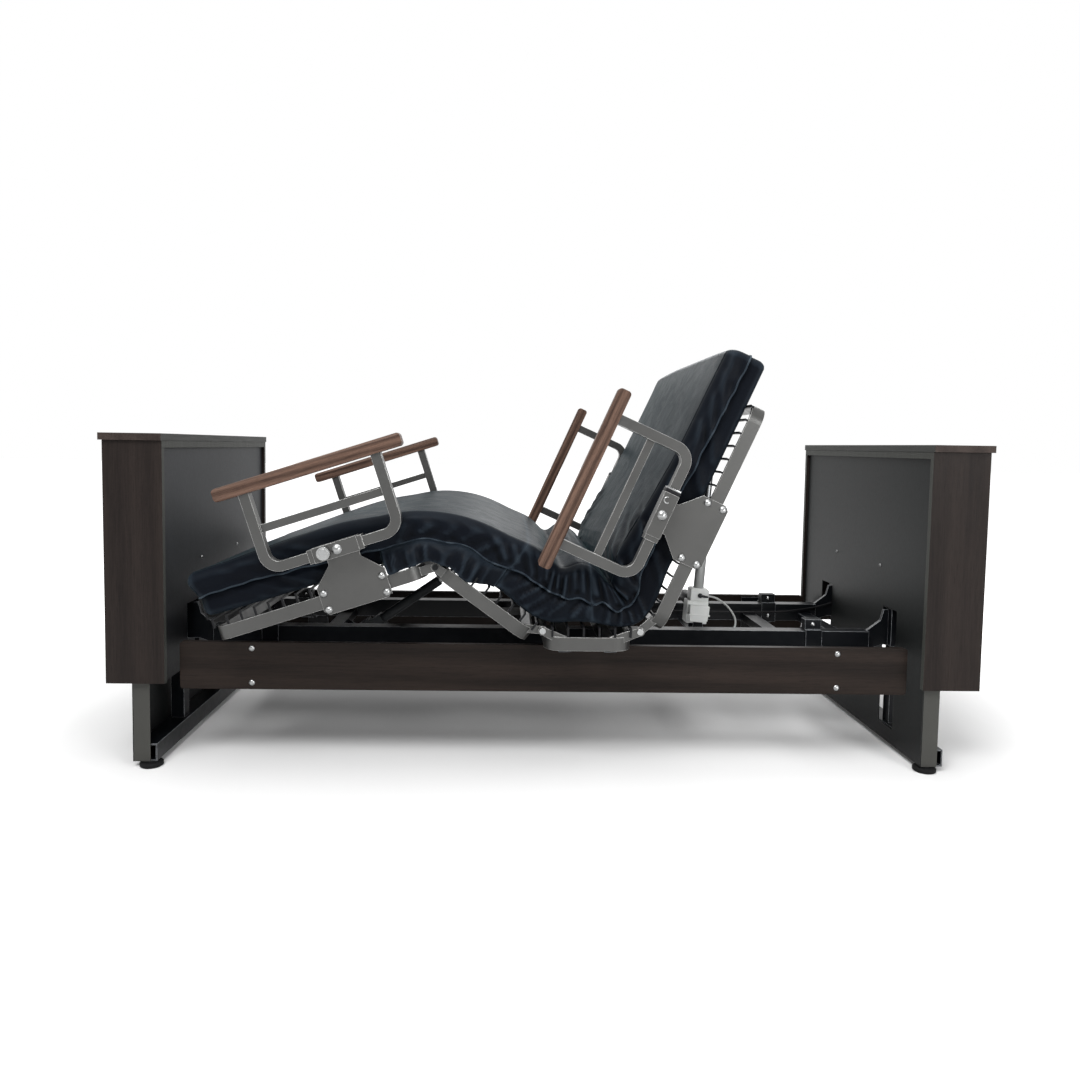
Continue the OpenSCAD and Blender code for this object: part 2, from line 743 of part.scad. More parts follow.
// Cheeks that hold an actuator's eye, from a foot between x_low and x_high, with pin stubs
module cheeks(pin, foot) both_sides() {
    side_plate(eye_width / 2 + cheek_gap, cheek_thickness) {
        translate(pin) circle(lug_radius);
        polygon(foot);
    }
    cross_pin(pin, pivot_radius + 2, eye_width / 2 + cheek_gap + cheek_thickness,
              eye_width / 2 + cheek_gap + cheek_thickness + 5);
}

module thigh_bars()
    color([0.43, 0.43, 0.42]) in_thigh() {
        bar_loop(thigh_start, thigh_end);
        both_sides() {
            side_plate(inner_ear, ear_thickness)
                hinge_arm(hip, thigh_end - 34, bar_bottom + 6, bar_top - 2, moving_bore);
            side_plate(outer_ear, ear_thickness)
                hinge_arm(knee, thigh_start + 60, bar_bottom + 4, bar_top - 4, fixed_bore);
        }
        tube = knee_pin_flat[0];
        block([tube - 12, -bar_inner, bar_top - 16], [tube + 12, bar_inner, bar_top]);
        cheeks(knee_pin_flat, [[tube - 12, bar_top - 16], [tube + 12, bar_top - 16],
                               knee_pin_flat + [lug_radius, 0], knee_pin_flat - [lug_radius, 0]]);
    }
module thigh_mesh()
    color([0.08, 0.08, 0.09]) in_thigh() mesh(knee_x + mesh_margin, hip_x - mesh_margin, mesh_rise);
module thigh_pad()
    color([0.13, 0.15, 0.18]) in_thigh()
        pad(knee_x + seat_gap, hip_x - lean(pad_bottom, thigh_up),
            knee_x + seat_gap, hip_x - lean(pad_top, thigh_up));

module calf_bars()
    color([0.43, 0.43, 0.42]) in_calf() {
        bar_loop(calf_start, calf_end);
        both_sides() side_plate(inner_ear, ear_thickness)
            hinge_arm(knee, calf_end - 40, bar_bottom + 6, bar_top - 6, moving_bore);
    }
// The calf mesh carries a wire hoop that keeps the mattress from sliding off the foot end
module calf_mesh()
    color([0.08, 0.08, 0.09]) in_calf() {
        low = calf_start + 3;
        mesh(low, knee_x - mesh_margin, mesh_rise,
             [foot_station - bolt_along, foot_station + bolt_along]);
        x = knee_x - mattress_foot - 2;
        z = deck_height + mesh_rise;
        top = pad_bottom + hoop_rise;
        both_sides() {
            block([x - wire, hoop_y, z], [low + wire, hoop_y + wire, z + wire]);
            block([x - wire, hoop_y, z + wire], [x, hoop_y + wire, top]);
        }
        block([x - wire, -hoop_y - wire, top], [x, hoop_y + wire, top + wire]);
    }
module calf_pad()
    color([0.13, 0.15, 0.18]) in_calf()
        pad(knee_x - mattress_foot, knee_x - seat_gap, knee_x - mattress_foot, knee_x - seat_gap);

module back_bars()
    color([0.43, 0.43, 0.42]) in_back() {
        bar_loop(back_start, back_end);
        both_sides() side_plate(inner_ear, ear_thickness)
            hinge_arm(waist, back_start + 36, bar_bottom + 6, bar_top - 2, moving_bore);
        x = back_end - bar_thickness;
        cheeks(back_pin_flat, [[x, bar_bottom], [x, bar_top - 4], back_pin_flat + [0, lug_radius],
                               back_pin_flat - [0, lug_radius]]);
    }
module back_mesh()
    color([0.08, 0.08, 0.09]) in_back()
        mesh(waist_x + back_pad_dip, back_end - bar_thickness, back_mesh_rise,
             [head_station - bolt_along, head_station + bolt_along]);
// Where the back's mattress has come down to its lower mesh
back_pad_dip = 52;
module back_pad()
    color([0.13, 0.15, 0.18]) in_back()
        side_plate(-half_pad, mattress_width) polygon([
            [waist_x + lean(pad_bottom, back_up), pad_bottom],
            [waist_x + back_pad_dip, back_pad_bottom],
            [waist_x + mattress_head, back_pad_bottom], [waist_x + mattress_head, back_pad_top],
            [waist_x + lean(back_pad_top, back_up), back_pad_top]
        ]);

// ---- assist rails, drawn flat around a station x on the deck ----

bolt_spots = [for (u = [-bolt_along, bolt_along], n = [-bolt_up, bolt_up]) [u, n]];
neck = 41;
wing = 87;
neck_top = sleeve_rise + 14;

// Mounting plate outside the bar with the rail's clamp sleeve, and two clamp strips inside it
module rail_plates(station, sleeve_along, knob_along)
    both_sides() translate([station, 0, deck_height]) {
        side_plate(half_deck, plate_thickness) difference() {
        polygon([[-neck, neck_top], [-neck, 84], [-wing, 38], [-wing, -22], [-wing + 11, -34],
                 [wing - 11, -34], [wing, -22], [wing, 38], [neck, 84], [neck, neck_top]]);
        for (p = bolt_spots) translate(p) circle(bolt_radius + running_gap);
    }
    for (u = [-bolt_along, bolt_along])
        side_plate(bar_inner - clamp_thickness, clamp_thickness) difference() {
            translate([u - 9, -30]) square([18, 60]);
            for (n = [-bolt_up, bolt_up]) translate([u, n]) circle(bolt_radius + running_gap);
        }
    translate([sleeve_along, axis_y, sleeve_rise]) difference() {
        union() {
            cube([sleeve_length, sleeve_size, sleeve_size], center = true);
            block([-32, -sleeve_size / 2 - spacer, -12], [32, -sleeve_size / 2, 12]);
        }
        rotate([0, 90, 0])
            cylinder(r = journal_radius + running_gap, h = sleeve_length + 2, center = true);
        if (knob_along != 0)
            translate([knob_along - sleeve_along, journal_radius, 0]) rotate([-90, 0, 0])
                cylinder(r = 5 + running_gap, h = sleeve_size);
    }
}

module rail_bolts(station) both_sides() translate([station, 0, deck_height]) {
    for (p = bolt_spots) translate([p[0], half_deck + plate_thickness, p[1]]) rotate([-90, 0, 0])
        dome_bolt(10, 6, plate_thickness + bar_thickness + clamp_thickness);
    translate([0, axis_y + sleeve_size / 2, sleeve_rise]) rotate([-90, 0, 0]) dome(13, 7);
}

// Outline of the U-shaped tube in the plane of the rail, open at its sleeve
module rail_outline(sleeve_along) difference() {
    high = arm_height - grip_height / 2;
    round_rect([-half_arm - half_tube, -half_tube], [half_arm + half_tube, high + bend_radius],
               bend_radius);
    round_rect([-half_arm + half_tube, half_tube], [half_arm - half_tube, high + 2 * bend_radius],
               bend_radius - tube_size);
    translate([-arm_spacing, high]) square([2 * arm_spacing, 4 * bend_radius]);
    translate([sleeve_along - half_sleeve - weld_gap, -tube_size])
        square([sleeve_length + 2 * weld_gap, 2 * tube_size]);
}

// A rail's frame: the bent tube, its round journal, two collars and the middle bar
module rail_frame(station, shift, sleeve_along, near)
    on_side(near) translate([station + shift, axis_y, axis_z]) {
        side_plate(-half_tube, tube_size) rail_outline(sleeve_along - shift);
        translate([sleeve_along - shift, 0, 0]) {
            rotate([0, 90, 0])
                cylinder(r = journal_radius, h = sleeve_length + 2 * weld_gap + 2, center = true);
            for (u = [-half_sleeve - collar_length - weld_gap, half_sleeve + weld_gap])
                block([u, -collar_size / 2, -collar_size / 2],
                      [u + collar_length, collar_size / 2, collar_size / 2]);
        }
        middle = arm_height - middle_drop;
        block([-half_arm + half_tube - 1, -4, middle - middle_height / 2],
              [half_arm - half_tube + 1, 4, middle + middle_height / 2]);
    }

// A grip: flat below, with rounded upper edges and ends
module rail_grip(station, shift, near)
    on_side(near) translate([station + shift, axis_y, axis_z + arm_height - grip_height / 2])
        intersection() {
            side_plate(-grip_width / 2, grip_width)
                round_rect([-grip_length / 2, 0], [grip_length / 2, grip_height], grip_corner);
            translate([-grip_length / 2, 0, 0]) rotate([90, 0, 90]) linear_extrude(grip_length)
                round_rect([-grip_width / 2, -grip_corner], [grip_width / 2, grip_height], grip_corner);
        }

// A release knob with its stem
module rail_knob(near)
    on_side(near) translate([foot_station + foot_knob_along, axis_y + sleeve_size / 2, axis_z])
        rotate([-90, 0, 0]) {
            translate([0, 0, seat_gap]) cylinder(r = knob_radius, h = 11);
            translate([0, 0, seat_gap + 11]) cylinder(r = knob_radius - 4, h = 3);
            translate([0, 0, journal_radius - sleeve_size / 2 + 1])
                cylinder(r = 5, h = sleeve_size / 2 - journal_radius);
        }

foot_sleeve_along = -3;
module calf_plates()
    color([0.43, 0.43, 0.42]) in_calf() rail_plates(foot_station, foot_sleeve_along, foot_knob_along);
module calf_bolts() color([0.75, 0.75, 0.76]) in_calf() rail_bolts(foot_station);
module back_plates() color([0.43, 0.43, 0.42]) in_back() rail_plates(head_station, 0, 0);
module back_bolts() color([0.75, 0.75, 0.76]) in_back() rail_bolts(head_station);

module foot_rail(near)
    color([0.45, 0.45, 0.44]) in_calf()
        rail_frame(foot_station, -foot_rail_shift, foot_sleeve_along, near);
module head_rail(near) color([0.45, 0.45, 0.44]) in_back() rail_frame(head_station, 0, 0, near);
module foot_grip(near)
    color([0.36, 0.26, 0.22]) in_calf() rail_grip(foot_station, -foot_rail_shift, near);
module head_grip(near) color([0.36, 0.26, 0.22]) in_back() rail_grip(head_station, 0, near);
module foot_knob(near) color([0.7, 0.7, 0.71]) in_calf() rail_knob(near);
module near_foot_rail() foot_rail(true);
module far_foot_rail() foot_rail(false);
module near_head_rail() head_rail(true);
module far_head_rail() head_rail(false);
module near_foot_grip() foot_grip(true);
module far_foot_grip() foot_grip(false);
module near_head_grip() head_grip(true);
module far_head_grip() head_grip(false);
module near_foot_knob() foot_knob(true);
module far_foot_knob() foot_knob(false);

// ---- actuators, drawn upright with the lower pivot at the origin ----

// The children, leant from upright towards an upper pin
module leant(pivot, pin)
    translate([pivot[0], 0, pivot[1]]) rotate([0, atan2(pin[0] - pivot[0], pin[1] - pivot[1]), 0])
        children();

housing_half = 24;
tube_clearance = 6;
motor_radius = 20;
rod_overlap = 24;

// How high the tube reaches: just short of the eye when the rod is drawn in
function tube_reach(reach) = reach - eye_radius - tube_clearance;

// Housing, tube with its bore, and holes for the pin stubs
module actuator_body(low, high, tube_top) difference() {
    union() {
        block([low[0], -housing_half, low[1]], [high[0], housing_half, high[1]]);
        block([low[0] + 9, -housing_half, high[1]], [high[0] - 2, housing_half, high[1] + 36]);
        cylinder(r = tube_radius, h = tube_top);
    }
    translate([0, 0, high[1] + 20]) cylinder(r = rod_radius + running_gap, h = tube_top);
    both_sides()
        cross_pin([0, 0], pivot_radius + running_gap, housing_half - 12 - seat_gap, 2 * housing_half);
}

module actuator_rod(reach, tube_top) {
    translate([0, 0, tube_top - rod_overlap])
        cylinder(r = rod_radius, h = reach - tube_top + rod_overlap - eye_radius + 2);
    translate([0, 0, reach]) rotate([90, 0, 0]) cylinder(r = eye_radius, h = eye_width, center = true);
}

// Two-tier housing: the lower tier has a cover that passes outside the near lug
cover_inner = housing_half + cheek_gap + cheek_thickness + 2;
cover_outer = cover_inner + 25;
module back_actuator()
    color([0.62, 0.63, 0.64]) leant(back_pivot, back_pin) {
        actuator_body([-36, -27], [31, 43], tube_reach(back_reach_flat));
        block([-33, -cover_outer, -16], [26, -cover_inner, 34]);
        block([-33, -cover_inner, 20], [20, -housing_half, 34]);
        cross_pin([-14, 36], motor_radius, housing_half, 110);
    }
module back_rod()
    color([0.72, 0.72, 0.73]) leant(back_pivot, back_pin)
        actuator_rod(back_reach, tube_reach(back_reach_flat));
module knee_actuator()
    color([0.45, 0.45, 0.45]) leant(knee_pivot, knee_pin)
        actuator_body([-26, -22], [30, 54], tube_reach(knee_reach_flat));
module knee_rod()
    color([0.72, 0.72, 0.73]) leant(knee_pivot, knee_pin)
        actuator_rod(knee_reach, tube_reach(knee_reach_flat));

foot_top();
head_top();
cabinet_aprons();
foot_side_panels();
head_side_panels();
foot_outer_panel();
head_outer_panel();
foot_inner_panel();
panel_screws();
leg_sheets();
legs();
base_channels();
floor_glides();
guide_columns();
lift_actuators();
carriages();
main_rails();
cross_tubes();
end_brackets();
outriggers();
saddles();
side_boards();
board_bolts();
actuator_lugs();
control_box();
back_lead();
lift_lead();
seat_supports();
seat_bars();
hinge_pins();
seat_mesh();
seat_pad();
thigh_bars();
knee_pins();
thigh_mesh();
thigh_pad();
calf_bars();
calf_mesh();
calf_pad();
calf_plates();
calf_bolts();
back_bars();
back_mesh();
back_pad();
back_plates();
back_bolts();
near_foot_rail();
near_foot_grip();
far_foot_rail();
far_foot_grip();
near_head_rail();
near_head_grip();
far_head_rail();
far_head_grip();
near_foot_knob();
far_foot_knob();
back_actuator();
back_rod();
knee_actuator();
knee_rod();
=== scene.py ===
# Adjustable bed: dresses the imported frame, makes the mattress and lights the scene
import math
import random

import bmesh
import bpy
from mathutils import Matrix, Vector, noise


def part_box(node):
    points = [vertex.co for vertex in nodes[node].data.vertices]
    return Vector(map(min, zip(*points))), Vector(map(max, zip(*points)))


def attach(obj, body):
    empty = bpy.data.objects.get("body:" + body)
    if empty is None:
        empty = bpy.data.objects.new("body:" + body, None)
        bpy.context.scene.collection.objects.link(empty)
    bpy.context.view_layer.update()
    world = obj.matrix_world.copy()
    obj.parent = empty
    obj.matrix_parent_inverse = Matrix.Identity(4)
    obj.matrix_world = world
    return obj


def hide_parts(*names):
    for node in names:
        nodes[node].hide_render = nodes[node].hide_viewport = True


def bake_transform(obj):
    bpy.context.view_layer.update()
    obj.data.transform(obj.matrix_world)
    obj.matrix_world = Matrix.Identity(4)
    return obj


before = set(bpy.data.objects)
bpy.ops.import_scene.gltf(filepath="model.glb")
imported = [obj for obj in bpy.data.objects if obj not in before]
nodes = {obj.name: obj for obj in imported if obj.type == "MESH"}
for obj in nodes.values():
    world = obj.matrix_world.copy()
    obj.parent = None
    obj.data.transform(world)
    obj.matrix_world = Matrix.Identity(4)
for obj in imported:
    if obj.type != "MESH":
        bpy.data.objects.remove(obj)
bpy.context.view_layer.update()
scene = bpy.context.scene
scene.view_settings.view_transform = "Standard"
bpy.ops.object.select_all(action="DESELECT")
print("frame loaded:", len(nodes), "nodes")

# camera at eye height beside the bed, a little towards the foot
cameraSetup = {
    "place": (-0.1177, -2.4970, 0.8418),
    "yaw": -0.020,
    "pitch": -0.064,
    "roll": -0.015,
    "lens": 27.14,
    "sensor": 36,
    "shiftX": 0.0182,
    "shiftY": -0.0391,
    "farthest": 60,
}


def makeCamera(setup):
    bpy.ops.object.camera_add(location=setup["place"])
    camera = bpy.context.object
    camera.name = "camera"
    turn = (
        Matrix.Rotation(setup["yaw"], 3, "Z")
        @ Matrix.Rotation(setup["pitch"], 3, "X")
        @ Matrix.Rotation(setup["roll"], 3, "Y")
    )
    right, forward, up = turn.col[0], turn.col[1], turn.col[2]
    axes = Matrix((right, up, -forward)).transposed()
    camera.matrix_world = Matrix.Translation(setup["place"]) @ axes.to_4x4()
    camera.data.sensor_width = setup["sensor"]
    camera.data.lens = setup["lens"]
    camera.data.shift_x = setup["shiftX"]
    camera.data.shift_y = setup["shiftY"]
    camera.data.clip_end = setup["farthest"]
    scene.camera = camera


makeCamera(cameraSetup)
print("camera placed")


# shader helpers
def tone(red, green, blue):
    def linear(value):
        value = value / 255
        return value / 12.92 if value <= 0.04045 else ((value + 0.055) / 1.055) ** 2.4

    return (linear(red), linear(green), linear(blue), 1)


def fillSockets(tree, sockets, values):
    # a value that is itself a socket is linked, any other one is set
    for key, value in values.items():
        if isinstance(value, bpy.types.NodeSocket):
            tree.links.new(value, sockets[key])
        else:
            sockets[key].default_value = value


def addNode(tree, kind, values=None, **settings):
    node = tree.nodes.new("ShaderNode" + kind)
    for label, value in settings.items():
        setattr(node, label, value)
    fillSockets(tree, node.inputs, values or {})
    return node


def addMath(tree, operation, first, second):
    return addNode(tree, "Math", {0: first, 1: second}, operation=operation).outputs[0]


def addSum(tree, *parts):
    # each part is a value and its weight
    weighted = [addMath(tree, "MULTIPLY", value, weight) for value, weight in parts]
    total = weighted[0]
    for part in weighted[1:]:
        total = addMath(tree, "ADD", total, part)
    return total


def addRange(tree, value, fromLow, fromHigh, toLow=0.0, toHigh=1.0, **settings):
    values = {"Value": value, "From Min": fromLow, "From Max": fromHigh, "To Min": toLow, "To Max": toHigh}
    return addNode(tree, "MapRange", values, **settings).outputs["Result"]


def addMix(tree, factor, first, second):
    return addNode(tree, "Mix", {0: factor, 6: first, 7: second}, data_type="RGBA").outputs[2]


def addNoise(tree, vector, scale, detail=3, rough=0.5, distortion=0.0):
    values = {
        "Vector": vector, "Scale": scale, "Detail": detail, "Roughness": rough, "Distortion": distortion
    }
    return addNode(tree, "TexNoise", values).outputs["Fac"]


def startMaterial(name, constants):
    material = bpy.data.materials.new(name)
    material.use_nodes = True
    shader = material.node_tree.nodes["Principled BSDF"]
    fillSockets(material.node_tree, shader.inputs, constants)
    return material, material.node_tree, shader


# light: one wide lamp overhead, a softer one behind the camera, a narrow one from the back
studio = {
    "worldFill": 0.28,
    "floor": {
        "Base Color": (0.80, 0.80, 0.80, 1),
        "Roughness": 0.9,
        "Specular IOR Level": 0.1,
        "Emission Color": (1, 1, 1, 1),
    },
    "floorReach": (1.0, 2.6),
    "floorLift": (0.04, 1.0),  # glow for rays that look at the background: faint near the bed, which paints shade on the floor round it, and full far away
    "floorSize": 60,
    # name, place, aim, width, height, power
    "lamps": [
        ("overhead", (0.0, -0.5, 3.3), (0.0, 0.0, 0.3), 3.6, 2.6, 70),
        ("front", (-1.3, -3.3, 4.1), (0.0, 0.0, 0.4), 2.4, 1.8, 190),
        ("side", (2.3, -3.4, 1.5), (0.4, 0.0, 0.4), 1.2, 1.4, 60),
        ("rear", (1.2, 3.4, 2.4), (0.0, 0.0, 0.5), 2.4, 1.2, 40),
    ],
}


def seenRays(tree):
    # 1 for the rays that look at the background: camera, glossy and transmission
    rays = addNode(tree, "LightPath").outputs
    seen = rays["Is Camera Ray"]
    for label in ("Is Glossy Ray", "Is Transmission Ray"):
        seen = addMath(tree, "MAXIMUM", seen, rays[label])
    return seen


def makeStudio(setup):
    for name, place, aim, width, height, power in setup["lamps"]:
        turn = (Vector(aim) - Vector(place)).to_track_quat("-Z", "Y").to_euler()
        bpy.ops.object.light_add(type="AREA", location=place, rotation=turn)
        lamp = bpy.context.object
        lamp.name = name + "_lamp"
        lamp.data.shape = "RECTANGLE"
        lamp.data.size = width
        lamp.data.size_y = height
        lamp.data.energy = power

    world = bpy.data.worlds.new("studio")
    scene.world = world
    world.use_nodes = True
    tree = world.node_tree
    tree.nodes.clear()
    strength = addRange(tree, seenRays(tree), 0, 1, setup["worldFill"], 1)
    background = addNode(tree, "Background", {"Color": (1, 1, 1, 1), "Strength": strength})
    addNode(tree, "OutputWorld", {"Surface": background.outputs[0]})

    bpy.ops.mesh.primitive_plane_add(size=setup["floorSize"], location=(0, 0, 0))
    floor = bpy.context.object
    floor.name = "floor"
    material, tree, shader = startMaterial("pale floor", setup["floor"])
    place = addNode(tree, "TexCoord").outputs["Object"]
    distance = addNode(tree, "VectorMath", {0: place}, operation="LENGTH").outputs["Value"]
    # painted shade: the glow fades out towards the bed
    lift = addRange(
        tree, distance, *setup["floorReach"], *setup["floorLift"], interpolation_type="SMOOTHSTEP"
    )
    fillSockets(tree, shader.inputs, {"Emission Strength": addMath(tree, "MULTIPLY", seenRays(tree), lift)})
    floor.data.materials.append(material)


makeStudio(studio)
print("studio lit")


# shared shader groups
def startGroup(name, inputs, outputs=("Color", "Rough", "Height")):
    # an input's kind follows from its value: none is a vector, four numbers are a colour, one is a float
    group = bpy.data.node_groups.new(name, "ShaderNodeTree")
    for label, value in inputs.items():
        kind = "Vector" if value is None else "Color" if isinstance(value, tuple) else "Float"
        socket = group.interface.new_socket(name=label, in_out="INPUT", socket_type="NodeSocket" + kind)
        if value is not None:
            socket.default_value = value
    for label in outputs:
        kind = {"Color": "Color", "Normal": "Vector"}.get(label, "Float")
        group.interface.new_socket(name=label, in_out="OUTPUT", socket_type="NodeSocket" + kind)
    start = group.nodes.new("NodeGroupInput")
    end = group.nodes.new("NodeGroupOutput")
    return group, start.outputs, end.inputs


def makeWoodGroup():
    # stretched noise for the fibres, a warped band pattern for the figure
    group, given, result = startGroup(
        "wood grain",
        {"Vector": None, "Light": tone(84, 72, 66), "Dark": tone(40, 33, 30), "Figure": 0.5},
    )
    vector = given["Vector"]
    broad = addNoise(group, vector, 0.9, 4, 0.55, 0.6)
    fibre = addNoise(group, vector, 6.5, 6, 0.68)
    pores = addNoise(group, vector, 19.0, 2, 0.5)
    bands = {"Vector": vector, "Scale": 0.22, "Distortion": 7.5, "Detail": 3.0, "Detail Scale": 0.55}
    wave = addNode(group, "TexWave", bands, wave_type="BANDS", bands_direction="DIAGONAL").outputs["Fac"]
    figure = addMath(group, "MULTIPLY", wave, given["Figure"])
    mixed = addSum(group, (broad, 0.55), (fibre, 0.5), (figure, 0.35))
    colour = addMix(group, addRange(group, mixed, 0.38, 0.98), given["Dark"], given["Light"])
    poreMask = addRange(group, pores, 0.56, 0.70, 0.0, 0.55)
    height = addMath(group, "SUBTRACT", fibre, addMath(group, "MULTIPLY", poreMask, 0.8))
    fillSockets(group, result, {
        "Color": addMix(group, poreMask, colour, given["Dark"]),
        "Rough": addRange(group, fibre, 0.3, 0.7, 0.36, 0.52),
        "Height": height,
    })
    return group


def makeEdgeGroup():
    # rounds sharp arrises in shading and gives a mask along them
    group, given, result = startGroup("soft edge", {"Radius": 0.0015}, ("Normal", "Edge"))
    rounded = addNode(group, "Bevel", {"Radius": given["Radius"]}, samples=8).outputs["Normal"]
    flat = addNode(group, "NewGeometry").outputs["True Normal"]
    facing = addNode(group, "VectorMath", {0: rounded, 1: flat}, operation="DOT_PRODUCT").outputs["Value"]
    fillSockets(group, result, {"Normal": rounded, "Edge": addRange(group, facing, 0.995, 0.90)})
    return group


def makePaintGroup():
    # satin powder coat: fine orange peel, faint cloudiness, and arrises lightened by wear and by a painted
    # highlight
    group, given, result = startGroup(
        "powder coat",
        {
            "Vector": None,
            "Base": tone(77, 76, 72),
            "Bright": tone(150, 148, 142),
            "Edge": 0.0,
            "WearAndGlint": 0.5,
            "Roughness": 0.4,
        },
    )
    vector = given["Vector"]
    peel = addNoise(group, vector, 900, 2, 0.5)
    cloud = addNoise(group, vector, 5.5, 4, 0.6)
    scuff = addNoise(group, vector, 46, 5, 0.7)
    tint = addRange(group, cloud, 0.3, 0.7, 0.90, 1.08)
    shade = addNode(group, "VectorMath", {0: given["Base"], "Scale": tint}, operation="SCALE").outputs[0]
    # edge wear and painted highlight: the arrises are mixed towards the bright tone
    wornAndGlint = addMath(group, "MULTIPLY", given["Edge"], addRange(group, scuff, 0.35, 0.6, 0.35, 1.0))
    wornAndGlint = addMath(group, "MULTIPLY", wornAndGlint, given["WearAndGlint"])
    fillSockets(group, result, {
        "Color": addMix(group, wornAndGlint, shade, given["Bright"]),
        "Rough": addMath(group, "ADD", given["Roughness"], addRange(group, scuff, 0.3, 0.7, -0.05, 0.07)),
        "Height": peel,
    })
    return group


def makeFabricGroup():
    # knitted backing under a thin coating: fine weave, stretch marks and rubbed patches
    group, given, result = startGroup(
        "coated fabric", {"Vector": None, "Base": tone(9, 12, 18), "Rubbed": tone(24, 31, 38)}
    )
    vector = given["Vector"]
    weave = addNoise(group, vector, 1400, 1, 0.4)
    grain = addNoise(group, vector, 330, 3, 0.6)
    stretch = addNoise(group, vector, 17, 5, 0.62, 1.2)
    patch = addRange(group, addNoise(group, vector, 3.2, 4, 0.6), 0.42, 0.72, 0.0, 0.32)
    rubbed = addMath(group, "MULTIPLY", patch, addRange(group, grain, 0.3, 0.7, 0.6, 1.0))
    fillSockets(group, result, {
        "Color": addMix(group, rubbed, given["Base"], given["Rubbed"]),
        "Rough": addRange(group, stretch, 0.3, 0.7, 0.38, 0.50),
        "Height": addSum(group, (weave, 0.25), (grain, 0.35), (stretch, 0.7)),
    })
    return group


groups = {
    "wood": makeWoodGroup(),
    "edge": makeEdgeGroup(),
    "paint": makePaintGroup(),
    "fabric": makeFabricGroup(),
}
print("shader groups built")


# materials
def addGroup(tree, key, values):
    return addNode(tree, "Group", values, node_tree=groups[key]).outputs


def addVector(tree, scale=(1, 1, 1), lean=0):
    # lean turns the stretched pattern about Y, in degrees, so that it follows a sloping piece
    place = addNode(tree, "TexCoord").outputs["Object"]
    values = {
        "Vector": place,
        "Scale": [1 / value for value in scale],
        "Rotation": (0, math.radians(lean), 0),
    }
    return addNode(tree, "Mapping", values, vector_type="TEXTURE").outputs["Vector"]


def splitAxes(tree, vector):
    return addNode(tree, "SeparateXYZ", {0: vector}).outputs


def dressShader(tree, shader, colour, rough, height, strength, distance, edge=None):
    bump = {"Height": height, "Strength": strength, "Distance": distance}
    if edge:
        bump["Normal"] = edge["Normal"]
    normal = addNode(tree, "Bump", bump).outputs["Normal"]
    fillSockets(tree, shader.inputs, {"Base Color": colour, "Roughness": rough, "Normal": normal})


def woodMaterial(name, grain, light, dark, edgeTone=None, figure=0.5, coat=0.0, lean=0):
    light, dark = tone(*light), tone(*dark)
    material, tree, shader = startMaterial(
        name, {"Specular IOR Level": 0.09, "Coat Weight": coat, "Coat Roughness": 0.3}
    )
    values = {"Vector": addVector(tree, grain, lean), "Light": light, "Dark": dark, "Figure": figure}
    wood = addGroup(tree, "wood", values)
    edge = addGroup(tree, "edge", {"Radius": 0.0012})
    colour = wood["Color"]
    if edgeTone:  # edge band on the faces that look along the bed
        along = splitAxes(tree, addNode(tree, "NewGeometry").outputs["True Normal"])["X"]
        band = addRange(tree, addMath(tree, "ABSOLUTE", along, 0), 0.8, 0.9)
        colour = addMix(tree, band, colour, tone(*edgeTone))
    # painted highlight: the arrises are mixed towards the light wood tone
    colour = addMix(tree, addMath(tree, "MULTIPLY", edge["Edge"], 0.35), colour, light)
    dressShader(tree, shader, colour, wood["Rough"], wood["Height"], 0.35, 0.0006, edge)
    return material


def panelMaterial(name, upper, lower, heights):
    # satin laminate with faint vertical streaks, and painted shade that darkens it towards the floor
    material, tree, shader = startMaterial(name, {"Specular IOR Level": 0.14})
    streak = addNoise(tree, addVector(tree, (7, 7, 1.2)), 5.0, 5, 0.62, 0.4)
    fine = addNoise(tree, addVector(tree, (160, 160, 22)), 4.0, 4, 0.6)
    level = splitAxes(tree, addNode(tree, "TexCoord").outputs["Object"])["Z"]
    # painted shade: the tone runs from the upper one down to the darker lower one
    rise = addRange(tree, level, *heights)
    mixed = addMath(tree, "ADD", rise, addRange(tree, streak, 0.3, 0.7, -0.10, 0.10))
    mixed = addMath(tree, "ADD", mixed, addRange(tree, fine, 0.3, 0.7, -0.04, 0.04))
    edge = addGroup(tree, "edge", {"Radius": 0.0012})
    colour = addMix(tree, addRange(tree, mixed, 0.0, 1.0), tone(*lower), tone(*upper))
    # painted highlight: the arrises are mixed towards a paler grey
    colour = addMix(tree, addMath(tree, "MULTIPLY", edge["Edge"], 0.4), colour, tone(96, 97, 95))
    dressShader(tree, shader, colour, addRange(tree, fine, 0.3, 0.7, 0.40, 0.50), fine, 0.08, 0.0004, edge)
    return material


def paintMaterial(name, base, bright, rough, metallic=0.0, wearAndGlint=0.5, radius=0.0015, coat=0.0, peel=0.12):
    material, tree, shader = startMaterial(
        name, {"Metallic": metallic, "Coat Weight": coat, "Coat Roughness": 0.2, "Specular IOR Level": 0.15}
    )
    edge = addGroup(tree, "edge", {"Radius": radius})
    # the arrises take the bright tone, as wear and as a painted highlight
    paint = addGroup(tree, "paint", {
        "Vector": addVector(tree),
        "Base": tone(*base),
        "Bright": tone(*bright),
        "Edge": edge["Edge"],
        "WearAndGlint": wearAndGlint,
        "Roughness": rough,
    })
    dressShader(tree, shader, paint["Color"], paint["Rough"], paint["Height"], peel, 0.0004, edge)
    return material


